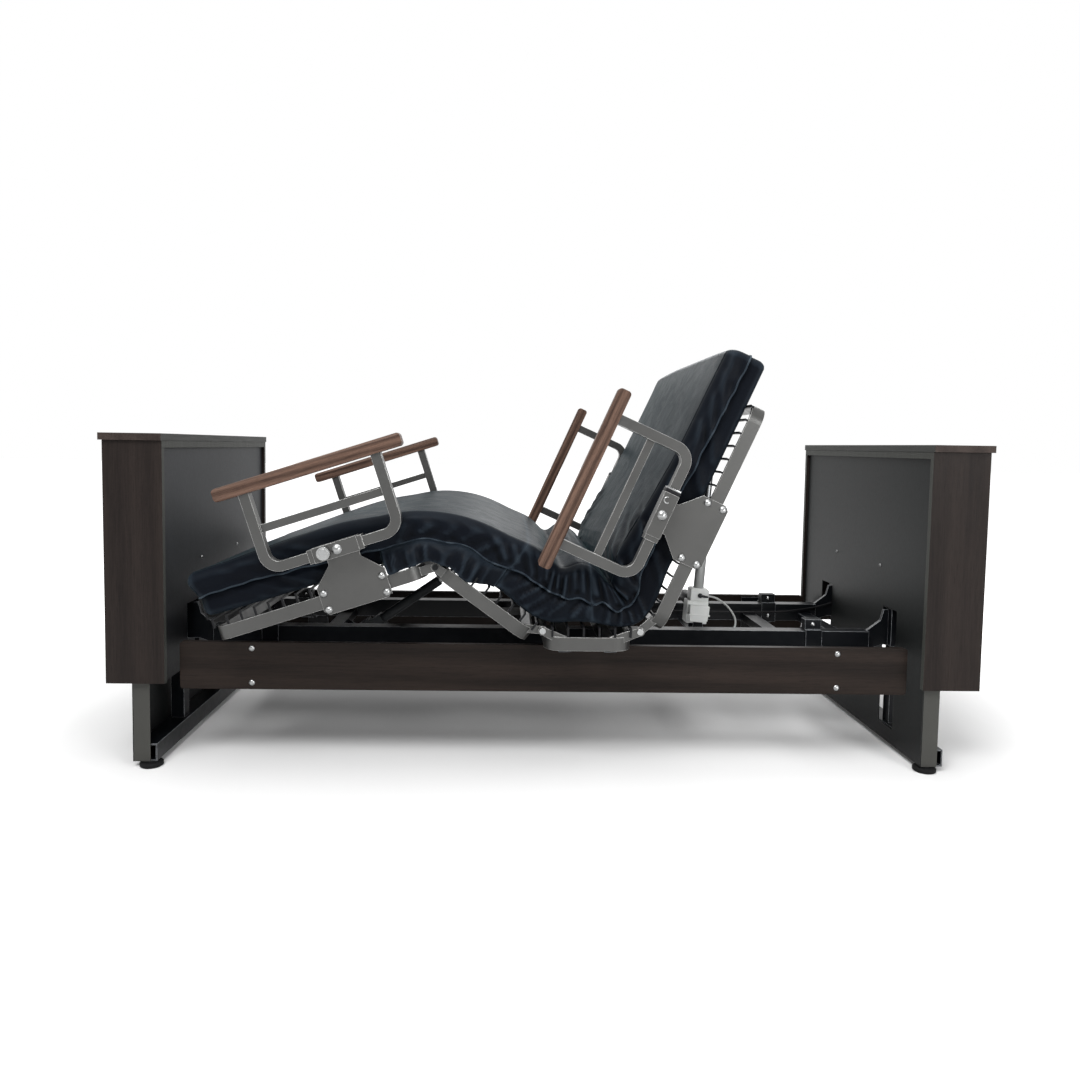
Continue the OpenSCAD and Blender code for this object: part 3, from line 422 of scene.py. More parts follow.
def fabricMaterial(name):
    # painted highlight on ridges and on the piping, and painted shade in hollows
    material, tree, shader = startMaterial(name, {
        "Specular IOR Level": 0.04,
        "Sheen Weight": 0.11,
        "Sheen Roughness": 0.30,
        "Sheen Tint": tone(134, 172, 178),
    })
    fabric = addGroup(tree, "fabric", {"Vector": addVector(tree)})
    pointed = addNode(tree, "NewGeometry").outputs["Pointiness"]
    colour = fabric["Color"]
    # ridges, hollows and piping: painted highlight, painted shade, painted highlight
    for low, high, most, shade in (
        (0.510, 0.560, 0.7, (40, 48, 56)),
        (0.497, 0.465, 0.8, (3, 4, 6)),
        (0.575, 0.630, 0.8, (84, 94, 102)),
    ):
        colour = addMix(tree, addRange(tree, pointed, low, high, 0.0, most), colour, tone(*shade))
    dressShader(tree, shader, colour, fabric["Rough"], fabric["Height"], 0.25, 0.0012)
    return material


# how much finer the grain is across than along: upright boards, side boards, cabinet tops and grips
uprightGrain = (34, 34, 1.5)
lengthGrain = (1.5, 34, 34)
crossGrain = (34, 1.5, 34)
gripGrain = (4.5, 150, 150)
gripTones = (120, 95, 82), (34, 23, 19)
finish = {
    "cabinetWood": woodMaterial("cabinet wood", uprightGrain, (48, 41, 38), (22, 18, 17), (62, 63, 60)),
    "topWood": woodMaterial("cabinet top wood", crossGrain, (70, 61, 57), (37, 31, 29), (58, 59, 57)),
    "boardWood": woodMaterial("side board wood", lengthGrain, (45, 37, 33), (19, 15, 13)),
    "gripWood": woodMaterial("foot grip wood", gripGrain, *gripTones, figure=0.6, coat=0.05, lean=-18),
    "headGripWood": woodMaterial("head grip wood", gripGrain, *gripTones, figure=0.6, coat=0.05, lean=-66),
    # upper and lower tones: the lower one is painted shade towards the floor
    "blackPanel": panelMaterial("black inner panel", (40, 42, 45), (11, 11, 13), (0.20, 0.74)),
    "sheetBlack": panelMaterial("black leg sheet", (24, 26, 26), (10, 10, 11), (0.0, 0.24)),
    "grayPaint": paintMaterial("gray leg paint", (64, 64, 61), (118, 118, 114), 0.42, wearAndGlint=0.4, peel=0.05),
    "pewter": paintMaterial(
        "pewter paint", (76, 76, 75), (206, 206, 204), 0.36, metallic=0.7, wearAndGlint=1.0, coat=0.05, peel=0.03
    ),
    "blackFrame": paintMaterial(
        "black frame paint", (13, 15, 18), (170, 174, 178), 0.32, wearAndGlint=1.0, radius=0.0018, peel=0.02
    ),
    "blackSteel": paintMaterial("black steel", (13, 14, 16), (120, 122, 124), 0.38, wearAndGlint=0.7, peel=0.03),
    "blackWire": paintMaterial(
        "coated wire", (17, 18, 20), (58, 58, 60), 0.42, wearAndGlint=0.3, radius=0.0008, peel=0.03
    ),
    "zinc": paintMaterial(
        "zinc plate", (146, 147, 147), (214, 214, 212), 0.26, metallic=1.0, wearAndGlint=0.6, radius=0.0008, peel=0.04
    ),
    "steelRod": paintMaterial(
        "steel rod", (150, 152, 154), (210, 210, 210), 0.3, metallic=0.9, wearAndGlint=0.4, peel=0.03
    ),
    "blackPlastic": paintMaterial("black plastic", (20, 20, 22), (48, 48, 50), 0.5, wearAndGlint=0.3, peel=0.15),
    "grayPlastic": paintMaterial("gray plastic", (44, 46, 48), (96, 98, 98), 0.48, wearAndGlint=0.3, peel=0.15),
    "whitePlastic": paintMaterial(
        "white plastic", (236, 238, 236), (248, 248, 247), 0.40, wearAndGlint=0.4, peel=0.08
    ),
    "tubePaint": paintMaterial(
        "guide tube paint", (172, 174, 173), (220, 220, 219), 0.38,
        metallic=0.2, wearAndGlint=0.3, coat=0.2, peel=0.03
    ),
    "leadSheath": paintMaterial("lead sheath", (188, 190, 188), (215, 216, 214), 0.45, wearAndGlint=0.1, peel=0.06),
    "rubber": paintMaterial("black rubber", (16, 16, 17), (40, 40, 40), 0.68, wearAndGlint=0.2, peel=0.3),
    "cover": fabricMaterial("mattress cover"),
}
print("materials built:", len(finish))

dressedNodes = {
    "cabinetWood": "foot_side_panels head_side_panels foot_outer_panel head_outer_panel cabinet_aprons",
    "topWood": "foot_top head_top",
    "boardWood": "side_boards",
    "gripWood": "near_foot_grip far_foot_grip",
    "headGripWood": "near_head_grip far_head_grip",
    "blackPanel": "foot_inner_panel",
    "sheetBlack": "leg_sheets",
    "grayPaint": "legs",
    "pewter": "seat_bars thigh_bars calf_bars back_bars calf_plates back_plates near_foot_rail far_foot_rail"
    " near_head_rail far_head_rail",
    "blackFrame": "guide_columns main_rails cross_tubes end_brackets outriggers saddles base_channels"
    " seat_supports actuator_lugs carriages",
    "blackSteel": "lift_actuators knee_pins",
    "blackWire": "seat_mesh thigh_mesh calf_mesh back_mesh",
    "zinc": "panel_screws board_bolts hinge_pins calf_bolts back_bolts near_foot_knob far_foot_knob",
    "steelRod": "back_rod knee_rod",
    "blackPlastic": "control_box lift_lead",
    "grayPlastic": "knee_actuator",
    "whitePlastic": "back_actuator back_lead",
    "rubber": "floor_glides",
}


def dressNodes():
    dressed = set()
    for key, names in dressedNodes.items():
        for name in names.split():
            for slot in nodes[name].material_slots:
                slot.material = finish[key]
            dressed.add(name)
    print("nodes dressed:", len(dressed), "left:", sorted(set(nodes) - dressed))


dressNodes()


# shaping helpers
def leaveSelection():
    if bpy.context.object and bpy.context.object.mode != "OBJECT":
        bpy.ops.object.mode_set(mode="OBJECT")
    bpy.ops.object.select_all(action="DESELECT")


def choosePiece(piece):
    leaveSelection()
    piece.select_set(True)
    bpy.context.view_layer.objects.active = piece


def meshPiece(name, mesh):
    data = bpy.data.meshes.new(name)
    mesh.to_mesh(data)
    mesh.free()
    piece = bpy.data.objects.new(name, data)
    scene.collection.objects.link(piece)
    return piece


def finishPiece(piece, key, body=None, stand=None, smoothTo=40):
    # stand moves a piece that was drawn in a place of its own
    choosePiece(piece)
    if stand is not None:
        piece.matrix_world = stand
        bpy.ops.object.transform_apply(location=True, rotation=True, scale=True)
    bpy.ops.object.shade_smooth_by_angle(angle=math.radians(smoothTo))
    piece.data.materials.clear()
    piece.data.materials.append(finish[key])
    if body:
        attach(piece, body)


def bridgeLoops(mesh, before, after):
    return [mesh.faces.new((before[k], before[k - 1], after[k - 1], after[k])) for k in range(len(before))]


def addTube(mesh, path, radius, sides=6):
    previous = []
    for i, spot in enumerate(path):
        along = (path[min(i + 1, len(path) - 1)] - path[max(i - 1, 0)]).normalized()
        across = along.cross(Vector((0, 0, 1)))
        if across.length < 0.3:
            across = along.cross(Vector((0, 1, 0)))
        across.normalize()
        upward = across.cross(along)
        loop = []
        for k in range(sides):
            angle = 2 * math.pi * k / sides
            loop.append(mesh.verts.new(spot + (across * math.cos(angle) + upward * math.sin(angle)) * radius))
        if previous:
            bridgeLoops(mesh, previous, loop)
        else:
            mesh.faces.new(loop[::-1])
        previous = loop
    mesh.faces.new(previous)


# mattress: laid out flat, crumpled, then bent onto the raised deck
deckHinges = {  # pivots in the X-Z plane and how far each section is raised, in degrees
    "hip": ((-0.017, 0.380), 36),
    "knee": ((-0.327, 0.349), -54),
    "waist": ((0.228, 0.380), -66),
}
mattress = {
    "deck": 0.3925,  # just over the mesh
    "halfWidth": 0.480,
    "headEnd": 0.966,
    "footEnd": -0.914,
    "stationStep": 0.0055,
    "topCorner": 0.024,
    "lowCorner": 0.012,
    "lip": 0.004,  # how far the upper half stands out over the seam, and the lower one in
    "setIn": 0.009,
    "lipReach": 0.009,
    "tuckReach": 0.035,
    "belly": 0.005,
    "sideInset": 0.006,
    "seamGap": 0.0012,
    "swell": 0.0022,  # height of the top's broad waves and of its long wrinkles
    "wrinkle": 0.0016,
    "endShrink": 0.055,
    "crown": 0.007,
    "endRound": 0.014,
    "endTuck": 0.004,
    "endInsets": (1.0, 0.8, 0.6, 0.4, 0.25, 0.13, 0.05, 0.0),
    # rises of the top where the cover bunches over the fold: station, reach, rise
    "bunches": [(0.21, 0.13, 0.040), (0.03, 0.046, 0.033)],
    # the top layer's foot end is drawn out over the end hoop, more at the corners
    "drawnEnd": {
        "level": 0.050, "rise": 0.045, "reach": 0.11, "corner": 0.36,
        "out": 0.010, "more": 0.008, "drop": 0.006
    },
    # station, underside, top and seam heights over the deck
    "profile": [
        (-0.925, 0.006, 0.112, 0.056),
        (-0.860, 0.003, 0.119, 0.058),
        (-0.720, 0.001, 0.127, 0.056),
        (-0.534, 0.001, 0.132, 0.045),
        (-0.400, 0.001, 0.116, 0.036),
        (-0.327, 0.001, 0.110, 0.034),
        (-0.232, 0.001, 0.128, 0.046),
        (-0.150, 0.003, 0.146, 0.072),
        (-0.017, 0.010, 0.160, 0.090),
        (0.062, 0.014, 0.166, 0.076),
        (0.148, 0.013, 0.164, 0.074),
        (0.228, 0.007, 0.154, 0.066),
        (0.350, -0.012, 0.126, 0.052),
        (0.500, -0.0165, 0.106, 0.045),
        (0.665, -0.0165, 0.092, 0.040),
        (0.860, -0.0165, 0.088, 0.032),
        (0.985, -0.0165, 0.086, 0.030),
    ],
    "bendReach": {"hip": 0.145, "knee": 0.105, "waist": 0.180},
    "sideRows": (12, 16),  # under and over the seam
    "topRows": 72,
    "underRows": 12,
    # fold families: first and last station, count, start and end level (0 underside, 1 seam, 2 top
    # edge), drift along the bed, width, depth
    "folds": [
        (-0.43, -0.20, 8, 0.98, 0.02, -0.014, 0.0085, 0.0080),
        (-0.20, 0.14, 9, 0.95, 0.05, -0.060, 0.0100, 0.0065),
        (0.10, 0.34, 6, 0.95, 0.10, -0.030, 0.0100, 0.0055),
        (-0.43, -0.24, 5, 1.05, 1.70, 0.022, 0.0110, 0.0050),
        (-0.26, -0.08, 6, 1.90, 1.10, 0.060, 0.0110, 0.0075),
        (-0.08, 0.06, 4, 1.85, 1.02, 0.020, 0.0140, 0.0085),
        (0.06, 0.34, 8, 1.95, 1.02, 0.010, 0.0165, 0.0115),
        (0.30, 0.42, 4, 1.15, 2.50, 0.120, 0.0130, 0.0085),
        (0.30, 0.50, 5, 1.10, 2.10, 0.190, 0.0110, 0.0065),
        (0.24, 0.40, 5, 2.05, 3.10, 0.080, 0.0140, 0.0075),
        (0.55, 0.90, 5, 1.05, 2.10, 0.120, 0.0140, 0.0035),
        (0.40, 0.80, 5, 0.95, 0.10, -0.080, 0.0120, 0.0040),
        (-0.90, -0.62, 5, 1.95, 1.10, 0.130, 0.0130, 0.0035),
        (-0.90, -0.60, 4, 0.90, 0.15, 0.090, 0.0120, 0.0035),
    ],
    "foldLimit": 0.0095,
    "foldSeeds": {-1: 11, 1: 29},
    "foldSteps": 6,
    "foldAcross": 0.16,  # how far a level past 2 runs over the top
    # waves of the seam: station, reach, pitch, amount
    "scallops": [
        (0.125, 0.110, 0.082, 0.0075), (-0.300, 0.060, 0.110, 0.0060), (0.330, 0.090, 0.110, 0.0040)
    ],
    # creases across the top: station, reach, depth, pitch
    "creases": [(0.240, 0.080, 0.0070, 0.060), (0.400, 0.100, 0.0035, 0.080)],
    # where the cover has slack to gather: station, reach, share
    "slack": [
        (-0.330, 0.110, 1.0), (-0.110, 0.120, 0.5), (0.100, 0.120, 1.0),
        (0.270, 0.130, 1.0), (0.450, 0.120, 0.5)
    ],
    "cloth": {
        "quality": 5,
        "mass": 0.3,
        "tension_stiffness": 15.0,
        "compression_stiffness": 15.0,
        "shear_stiffness": 5.0,
        "bending_stiffness": 0.15,
        "use_pressure": True,
        "uniform_pressure_force": 4.0,
        "vertex_group_mass": "hold",
        "vertex_group_shrink": "taut",
        "shrink_min": -0.14,
        "shrink_max": 0.0,
    },
    "clothFrames": 20,
    # how firmly the cloth is held: on the sides, at the top's edge, more inwards, and how far in
    "clothHold": (0.02, 0.04, 0.26, 0.12),
    "tautReach": 0.2,
    "clothLimit": 0.014,  # how far a point may move, and how far out it may end
    "clothReach": 0.491,
    "seamWave": 0.0045,
    # section points are outward share and height, as a share of the seam's height or of the drop
    "skirt": {
        "start": -0.4500,
        "end": -0.180,
        "step": 0.004,
        "fades": (0.010, 0.075),
        "drop": 0.0275,
        "reach": 0.0265,
        "gather": 0.0075,
        # gathers: least and random part of the width, the share and the step, then the lean
        "gatherWidth": (0.006, 0.005),
        "gatherShare": (0.5, 0.7),
        "gatherStep": (0.016, 0.016),
        "gatherLean": 0.010,
        "seeds": {-1: 5, 1: 8},
        "setBack": 0.012,
        "limit": 0.511,
        "section": [
            (-0.4, 0.80), (0.10, 0.97), (0.42, 0.92), (0.66, 0.78), (0.82, 0.58), (0.92, 0.34),
            (0.98, 0.12), (1.00, -0.12), (1.00, -0.40), (0.99, -0.66), (0.95, -0.88), (0.88, -1.0),
            (0.80, -0.96), (0.76, -0.80), (0.755, -0.45), (0.755, -0.10), (0.74, 0.04), (0.40, 0.10),
            (-0.4, 0.16),
        ],
    },
    "piping": 0.0026,
    "pipingOut": 0.0012,
    "cuts": (-0.172, 0.105),
}
mattressFolds = {}  # side to its folds


def smooth(value):
    value = min(max(value, 0.0), 1.0)
    return value * value * (3 - 2 * value)


def bell(x, station, reach):
    return math.exp(-(((x - station) / reach) ** 2))


def eased(i, count):
    # even steps that crowd together at both ends
    return 0.5 - 0.5 * math.cos(math.pi * i / count)


def turnAbout(point, pivot, degrees):
    angle = math.radians(degrees)
    x, z = point.x - pivot[0], point.z - pivot[1]
    return Vector((
        pivot[0] + x * math.cos(angle) + z * math.sin(angle),
        point.y,
        pivot[1] - x * math.sin(angle) + z * math.cos(angle),
    ))


def bendToDeck(point):
    end = mattress["drawnEnd"]
    drawn = smooth((point.z - mattress["deck"] - end["level"]) / end["rise"])
    drawn *= smooth((mattress["footEnd"] + end["reach"] - point.x) / end["reach"])
    if drawn > 0:
        corner = smooth((abs(point.y) - end["corner"]) / end["reach"])
        point = point - Vector(
            (drawn * (end["out"] + end["more"] * corner), 0, -end["drop"] * drawn * corner)
        )

    def share(name, sign):
        return smooth(0.5 + sign * (point.x - deckHinges[name][0][0]) / (2 * mattress["bendReach"][name]))

    toThigh, toCalf, toBack = share("hip", -1), share("knee", -1), share("waist", 1)
    raised = point.copy()
    if toCalf > 0:
        raised = point.lerp(turnAbout(point, *deckHinges["knee"]), toCalf)
    if toThigh > 0:
        raised = point.lerp(turnAbout(raised, *deckHinges["hip"]), toThigh)
    if toBack > 0:
        raised += (turnAbout(point, *deckHinges["waist"]) - point) * toBack
    return raised


def profileAt(x):
    # smooth curve through the profile's stations
    rows = mattress["profile"]
    k = max(i for i in range(len(rows) - 1) if i == 0 or rows[i][0] <= x)
    before, after = rows[k], rows[k + 1]
    earlier, later = rows[max(k - 1, 0)], rows[min(k + 2, len(rows) - 1)]
    span = after[0] - before[0]
    t = min(max((x - before[0]) / span, 0.0), 1.0)
    result = []
    for column in (1, 2, 3):
        rise = (after[column] - earlier[column]) / (after[0] - earlier[0]) * span
        fall = (later[column] - before[column]) / (later[0] - before[0]) * span
        result.append(
            (2 * t**3 - 3 * t**2 + 1) * before[column]
            + (t**3 - 2 * t**2 + t) * rise
            + (3 * t**2 - 2 * t**3) * after[column]
            + (t**3 - t**2) * fall
        )
    return result


def makeFolds(seed):
    # each fold is a short curve over the unrolled side: station along the bed, height over the deck
    chance = random.Random(seed)
    folds = []
    for first, last, count, low, high, drift, width, depth in mattress["folds"]:
        for i in range(count):
            x = first + (last - first) * (i + 0.5 + 0.6 * (chance.random() - 0.5)) / count
            lean = drift * (0.6 + 0.8 * chance.random())
            sway = 0.25 * drift * (chance.random() - 0.3)
            ends = low + 0.25 * (chance.random() - 0.5), high + 0.35 * (chance.random() - 0.5)
            path = []
            for step in range(mattress["foldSteps"] + 1):
                part = step / mattress["foldSteps"]
                station = x + lean * part + sway * math.sin(math.pi * part)
                under, top, seam = profileAt(station)
                level = ends[0] + (ends[1] - ends[0]) * part
                if level < 1:
                    height = under + (seam - under) * level
                elif level < 2:
                    height = seam + (top - seam) * (level - 1)
                else:
                    height = top + (level - 2) * mattress["foldAcross"]
                path.append((station, height))
            size = width * (0.7 + 0.6 * chance.random())
            rise = depth * (0.55 + 0.9 * chance.random())
            stations = [spot[0] for spot in path]
            folds.append((min(stations) - 3 * size, max(stations) + 3 * size, path, size, rise))
    return folds


def foldDepth(x, height, active):
    # each fold is a ridge with a shallow hollow beside it, and fades at both ends
    total = 0.0
    for path, width, depth in active:
        nearest = None
        for k, ((x1, z1), (x2, z2)) in enumerate(zip(path, path[1:])):
            dx, dz = x2 - x1, z2 - z1
            length = dx * dx + dz * dz + 1e-12
            part = min(max(((x - x1) * dx + (height - z1) * dz) / length, 0.0), 1.0)
            gapX, gapZ = x - x1 - part * dx, height - z1 - part * dz
            gap = gapX * gapX + gapZ * gapZ
            if nearest is None or gap < nearest[0]:
                side = 1 if gapX * dz - gapZ * dx > 0 else -1
                nearest = (gap, side, (k + part) / (len(path) - 1))
        across = math.sqrt(nearest[0]) / width * nearest[1]
        if abs(across) > 3:
            continue
        taper = smooth(min(nearest[2], 1 - nearest[2]) / 0.22)
        ridge = math.exp(-abs(across) ** 1.5 * 1.3) - 0.40 * bell(across, 1.4, 0.7)
        total += depth * taper * ridge
    limit = mattress["foldLimit"]
    return limit * math.tanh(total / limit)


def seamShift(x):
    shift = mattress["seamWave"] * noise.noise(Vector((x * 24, 0.3, 0)))
    for station, reach, pitch, amount in mattress["scallops"]:
        shift += amount * bell(x, station, reach) * math.sin(2 * math.pi * (x - station) / pitch)
    return shift


def sectionRing(x, inset):
    # one loop round the mattress, from the near bottom edge over the near side, top, far side and underside
    low, high, seam = profileAt(x)
    seam += seamShift(x)
    low, high = low + inset * (seam - low), high - inset * (high - seam)
    seam = min(max(seam, low), high)
    topCorner = mattress["topCorner"] * (1 - inset)
    lowCorner = mattress["lowCorner"] * (1 - inset)
    half = mattress["halfWidth"] - inset * mattress["endShrink"]
    below, above = mattress["sideRows"]
    count = mattress["topRows"]
    cover = 1 - inset
    active = {
        side: [fold[2:] for fold in folds if fold[0] < x < fold[1]] for side, folds in mattressFolds.items()
    }

    def sidePoint(height, side):
        # rounded corners, the upper half overhanging the lower one at the seam
        squeeze = 0.0
        if height < low + lowCorner:
            squeeze = lowCorner - math.sqrt(max(lowCorner**2 - (low + lowCorner - height) ** 2, 0))
        if height > high - topCorner:
            squeeze = topCorner - math.sqrt(max(topCorner**2 - (height - high + topCorner) ** 2, 0))
        over = (height - seam) / max(high - seam, 0.001)
        if height >= seam:
            belly = mattress["belly"] * math.sin(math.pi * min(over, 1)) ** 0.6
            belly += mattress["lip"] * bell(height, seam, mattress["lipReach"])
        else:
            belly = -mattress["setIn"] * math.exp(-(seam - height) / mattress["tuckReach"])
        fold = foldDepth(x, height, active[side])
        fade = smooth((height - low) / 0.010) * (
            0.35 + 0.65 * smooth((high - height) / topCorner if topCorner else 0)
        )
        outward = half - mattress["sideInset"] - squeeze + (belly + fold * fade) * cover
        return Vector((x, side * outward, mattress["deck"] + height))

    def crumple(y):
        edge = 1 - abs(y / half) ** 6
        swell = noise.noise(Vector((x * 3.5, y * 2.6, 4.2))) * mattress["swell"]
        bend = 0.0
        for station, reach, depth, pitch in mattress["creases"]:
            window = bell(x, station, reach)
            if window < 0.03:
                continue
            warp = noise.noise(Vector((x * 5, y * 3.5, station))) * 2.2
            arc = x + 0.05 * (y / half) ** 2
            ridge = 0.5 - abs(math.sin(math.pi * arc / pitch + warp)) ** 0.7
            bend += depth * window * ridge * (0.5 + abs(noise.noise(Vector((x * 7, y * 5, 1.7)))) * 2)
        long = noise.noise(Vector((x * 1.6, y * 5 + 0.4 * math.sin(x * 5), 9.1))) * mattress["wrinkle"]
        return (swell + bend + long) * edge

    lower = [low + (seam - mattress["seamGap"] - low) * eased(i, below - 1) for i in range(below)]
    upper = [seam + (high - seam) * eased(i, above) for i in range(above + 1)]
    heights = lower + upper
    near = [sidePoint(height, -1) for height in heights]
    far = [sidePoint(height, 1) for height in heights]
    start, end = near[-1].y, far[-1].y
    bunched = sum(rise * bell(x, station, reach) for station, reach, rise in mattress["bunches"])
    top = []
    for i in range(1, count):
        across = eased(i, count)
        y = start + (end - start) * across
        arch = (1 - (2 * across - 1) ** 2) ** 0.6
        crown = (mattress["crown"] + bunched * (0.65 + 0.5 * across)) * arch
        side = -1 if across < 0.5 else 1
        inward = min(across, 1 - across) * (end - start)
        fold = foldDepth(x, high + inward, active[side]) if inward < 0.25 else 0.0
        fold *= 0.35 + 0.65 * smooth(inward / 0.03)
        top.append(Vector((x, y, mattress["deck"] + high + (crown + crumple(y) + fold * 0.8) * cover)))
    start, end = near[0].y, far[0].y
    count = mattress["underRows"]
    under = [Vector((x, end + (start - end) * i / count, mattress["deck"] + low)) for i in range(1, count)]
    return near + top + far[::-1] + under


def mattressRings():
    # the closed ends are rings that shrink onto the seam
    first, last, step = mattress["footEnd"], mattress["headEnd"], mattress["stationStep"]
    insets, edge = mattress["endInsets"], mattress["endRound"]

    def endPlace(inset):
        slope = 1 - min(inset / mattress["endInsets"][3], 1)
        return edge * (1 - math.sqrt(1 - slope**2)) - mattress["endTuck"] * math.sin(math.pi * inset)

    rings = [sectionRing(first + endPlace(inset), inset) for inset in insets]
    count = round((last - first - 2 * edge) / step)
    for i in range(1, count):
        rings.append(sectionRing(first + edge + (last - first - 2 * edge) * i / count, 0.0))
    rings += [sectionRing(last - endPlace(inset), inset) for inset in reversed(insets)]
    return rings


def slackAt(x):
    return min(1.0, sum(weight * bell(x, station, reach) for station, reach, weight in mattress["slack"]))


def relaxCover(rings, bent):
    # cloth pass over the whole cover: slack fabric buckles where the bed folds, the underside is held
    rows = sum(mattress["sideRows"]) + 1
    faces = mattress["topRows"]
    size = len(bent[0])
    data = bpy.data.meshes.new("cover_cloth")
    quads = [
        (i * size + k, i * size + (k - 1) % size, (i + 1) * size + (k - 1) % size, (i + 1) * size + k)
        for i in range(len(bent) - 1)
        for k in range(size)
    ]
    data.from_pydata([tuple(point) for ring in bent for point in ring], [], quads)
    cover = bpy.data.objects.new("cover_cloth", data)
    scene.collection.objects.link(cover)
    hold = cover.vertex_groups.new(name="hold")
    taut = cover.vertex_groups.new(name="taut")
    topFirst, topLast = rows, rows + faces - 2
    sideHold, edgeHold, moreHold, holdReach = mattress["clothHold"]
    for i, ring in enumerate(rings):
        closing = i == 0 or i == len(rings) - 1
        amount = slackAt(ring[0].x)
        for k in range(size):
            onTop = topFirst <= k <= topLast
            under = k >= topLast + rows or k == 0
            inward = min(k - topFirst, topLast - k) / faces if onTop else 0.0
            held = edgeHold + moreHold * smooth(inward / holdReach) if onTop else sideHold
            tight = 1 - amount * (1 - smooth(inward / mattress["tautReach"]))
            hold.add([i * size + k], 1.0 if closing or under else held, "REPLACE")
            taut.add([i * size + k], 1.0 if under else tight, "REPLACE")
    cloth = cover.modifiers.new("cloth", "CLOTH")
    settings = cloth.settings
    for label, value in mattress["cloth"].items():
        setattr(settings, label, value)
    settings.effector_weights.gravity = 0
    cloth.point_cache.frame_start = 1
    cloth.point_cache.frame_end = mattress["clothFrames"]
    for step in range(1, mattress["clothFrames"] + 1):
        scene.frame_set(step)
    shaped = cover.evaluated_get(bpy.context.evaluated_depsgraph_get()).to_mesh()
    limit, reach = mattress["clothLimit"], mattress["clothReach"]
    result = []
    for i, ring in enumerate(bent):
        moved = []
        for k, point in enumerate(ring):
            shift = shaped.vertices[i * size + k].co - point
            if shift.length > 0:
                shift *= limit * math.tanh(shift.length / limit) / shift.length
            spot = point + shift
            spot.y = max(min(spot.y, reach), -reach)
            moved.append(spot)
        result.append(moved)
    scene.frame_set(1)
    bpy.data.objects.remove(cover)
    return result


def hangingSkirt(side):
    # loose cover that bags over the mesh beside the knee, down to the bars' upper edge
    values = mattress["skirt"]
    chance = random.Random(values["seeds"][side])

    def draw(name):
        least, more = values[name]
        return least + more * chance.random()

    gathers = []
    x = values["start"]
    while x < values["end"]:
        gathers.append(
            (x, draw("gatherWidth"), draw("gatherShare"), values["gatherLean"] * (chance.random() - 0.3))
        )
        x += draw("gatherStep")
    loops = []
    count = round((values["end"] - values["start"]) / values["step"])
    for i in range(count + 1):
        x = values["start"] + (values["end"] - values["start"]) * i / count
        first, last = values["fades"]
        span = min(smooth((x - values["start"]) / first), smooth((values["end"] - x) / last))
        seam = profileAt(x)[2] + seamShift(x)
        drop = values["drop"] * span * (1 + 0.18 * noise.noise(Vector((x * 30, side, 0.2)))) + 0.0005
        reach = values["reach"] * span
        loop = []
        for share, height in values["section"]:
            level = seam * height if height > 0 else drop * height + 0.002 * (1 - span)
            out = mattress["halfWidth"] - values["setBack"] + (reach + values["setBack"]) * share
            weight = max(0.0, min(1.0, (0.95 - height) / 0.8)) * span if share > 0.7 else 0.0
            for station, size, amount, lean in gathers:
                gap = (x - station - lean * (1 - height)) / size
                if abs(gap) < 3:
                    out += values["gather"] * amount * weight * (math.exp(-gap * gap) - 0.35)
            out = min(out, values["limit"])
            loop.append(bendToDeck(Vector((x, side * out, mattress["deck"] + level))))
        loops.append(loop)
    return loops


def mattressPiece(name, rings, bent, closeFirst, closeLast, openEnd):
    # closeFirst and closeLast wall off the cuts; openEnd says which end of the bed the piece reaches
    mesh = bmesh.new()
    loops = [[mesh.verts.new(point) for point in ring] for ring in bent]
    for before, after in zip(loops, loops[1:]):
        bridgeLoops(mesh, before, after)
    for wanted, ring, loop in ((closeFirst, rings[0], loops[0]), (closeLast, rings[-1], loops[-1])):
        if not wanted:
            continue
        outer = loop
        for inset in (0.5, 1.0):
            inner = [mesh.verts.new(bendToDeck(point)) for point in sectionRing(ring[0].x, inset)]
            bridgeLoops(mesh, inner, outer)
            outer = inner
    bmesh.ops.remove_doubles(mesh, verts=mesh.verts, dist=0.00005)
    bmesh.ops.recalc_face_normals(mesh, faces=mesh.faces)

    rows = sum(mattress["sideRows"]) + 1
    nearSeam = mattress["sideRows"][0]
    farSeam = rows + mattress["topRows"] - 1 + rows - 1 - nearSeam
    bulge = Vector((0, mattress["pipingOut"], 0))
    near = [ring[nearSeam] - bulge for ring in bent]
    far = [ring[farSeam] + bulge for ring in bent]
    across = slice(rows + 4, rows + mattress["topRows"] - 5, 3)  # every third point, clear of the corners
    if openEnd == "foot":
        paths = [near[::-1] + bent[0][across] + far]
    elif openEnd == "head":
        paths = [near + bent[-1][across] + far[::-1]]
    else:
        paths = [near, far]
    for path in paths:
        addTube(mesh, path, mattress["piping"])
    if openEnd == "foot":
        for side in (-1, 1):
            loops = [[mesh.verts.new(point) for point in loop] for loop in hangingSkirt(side)]
            faces = [mesh.faces.new(loops[0]), mesh.faces.new(loops[-1][::-1])]
            for before, after in zip(loops, loops[1:]):
                faces += bridgeLoops(mesh, before, after)
            bmesh.ops.recalc_face_normals(mesh, faces=faces)

    piece = meshPiece(name, mesh)
    finishPiece(piece, "cover", smoothTo=62)
    return piece


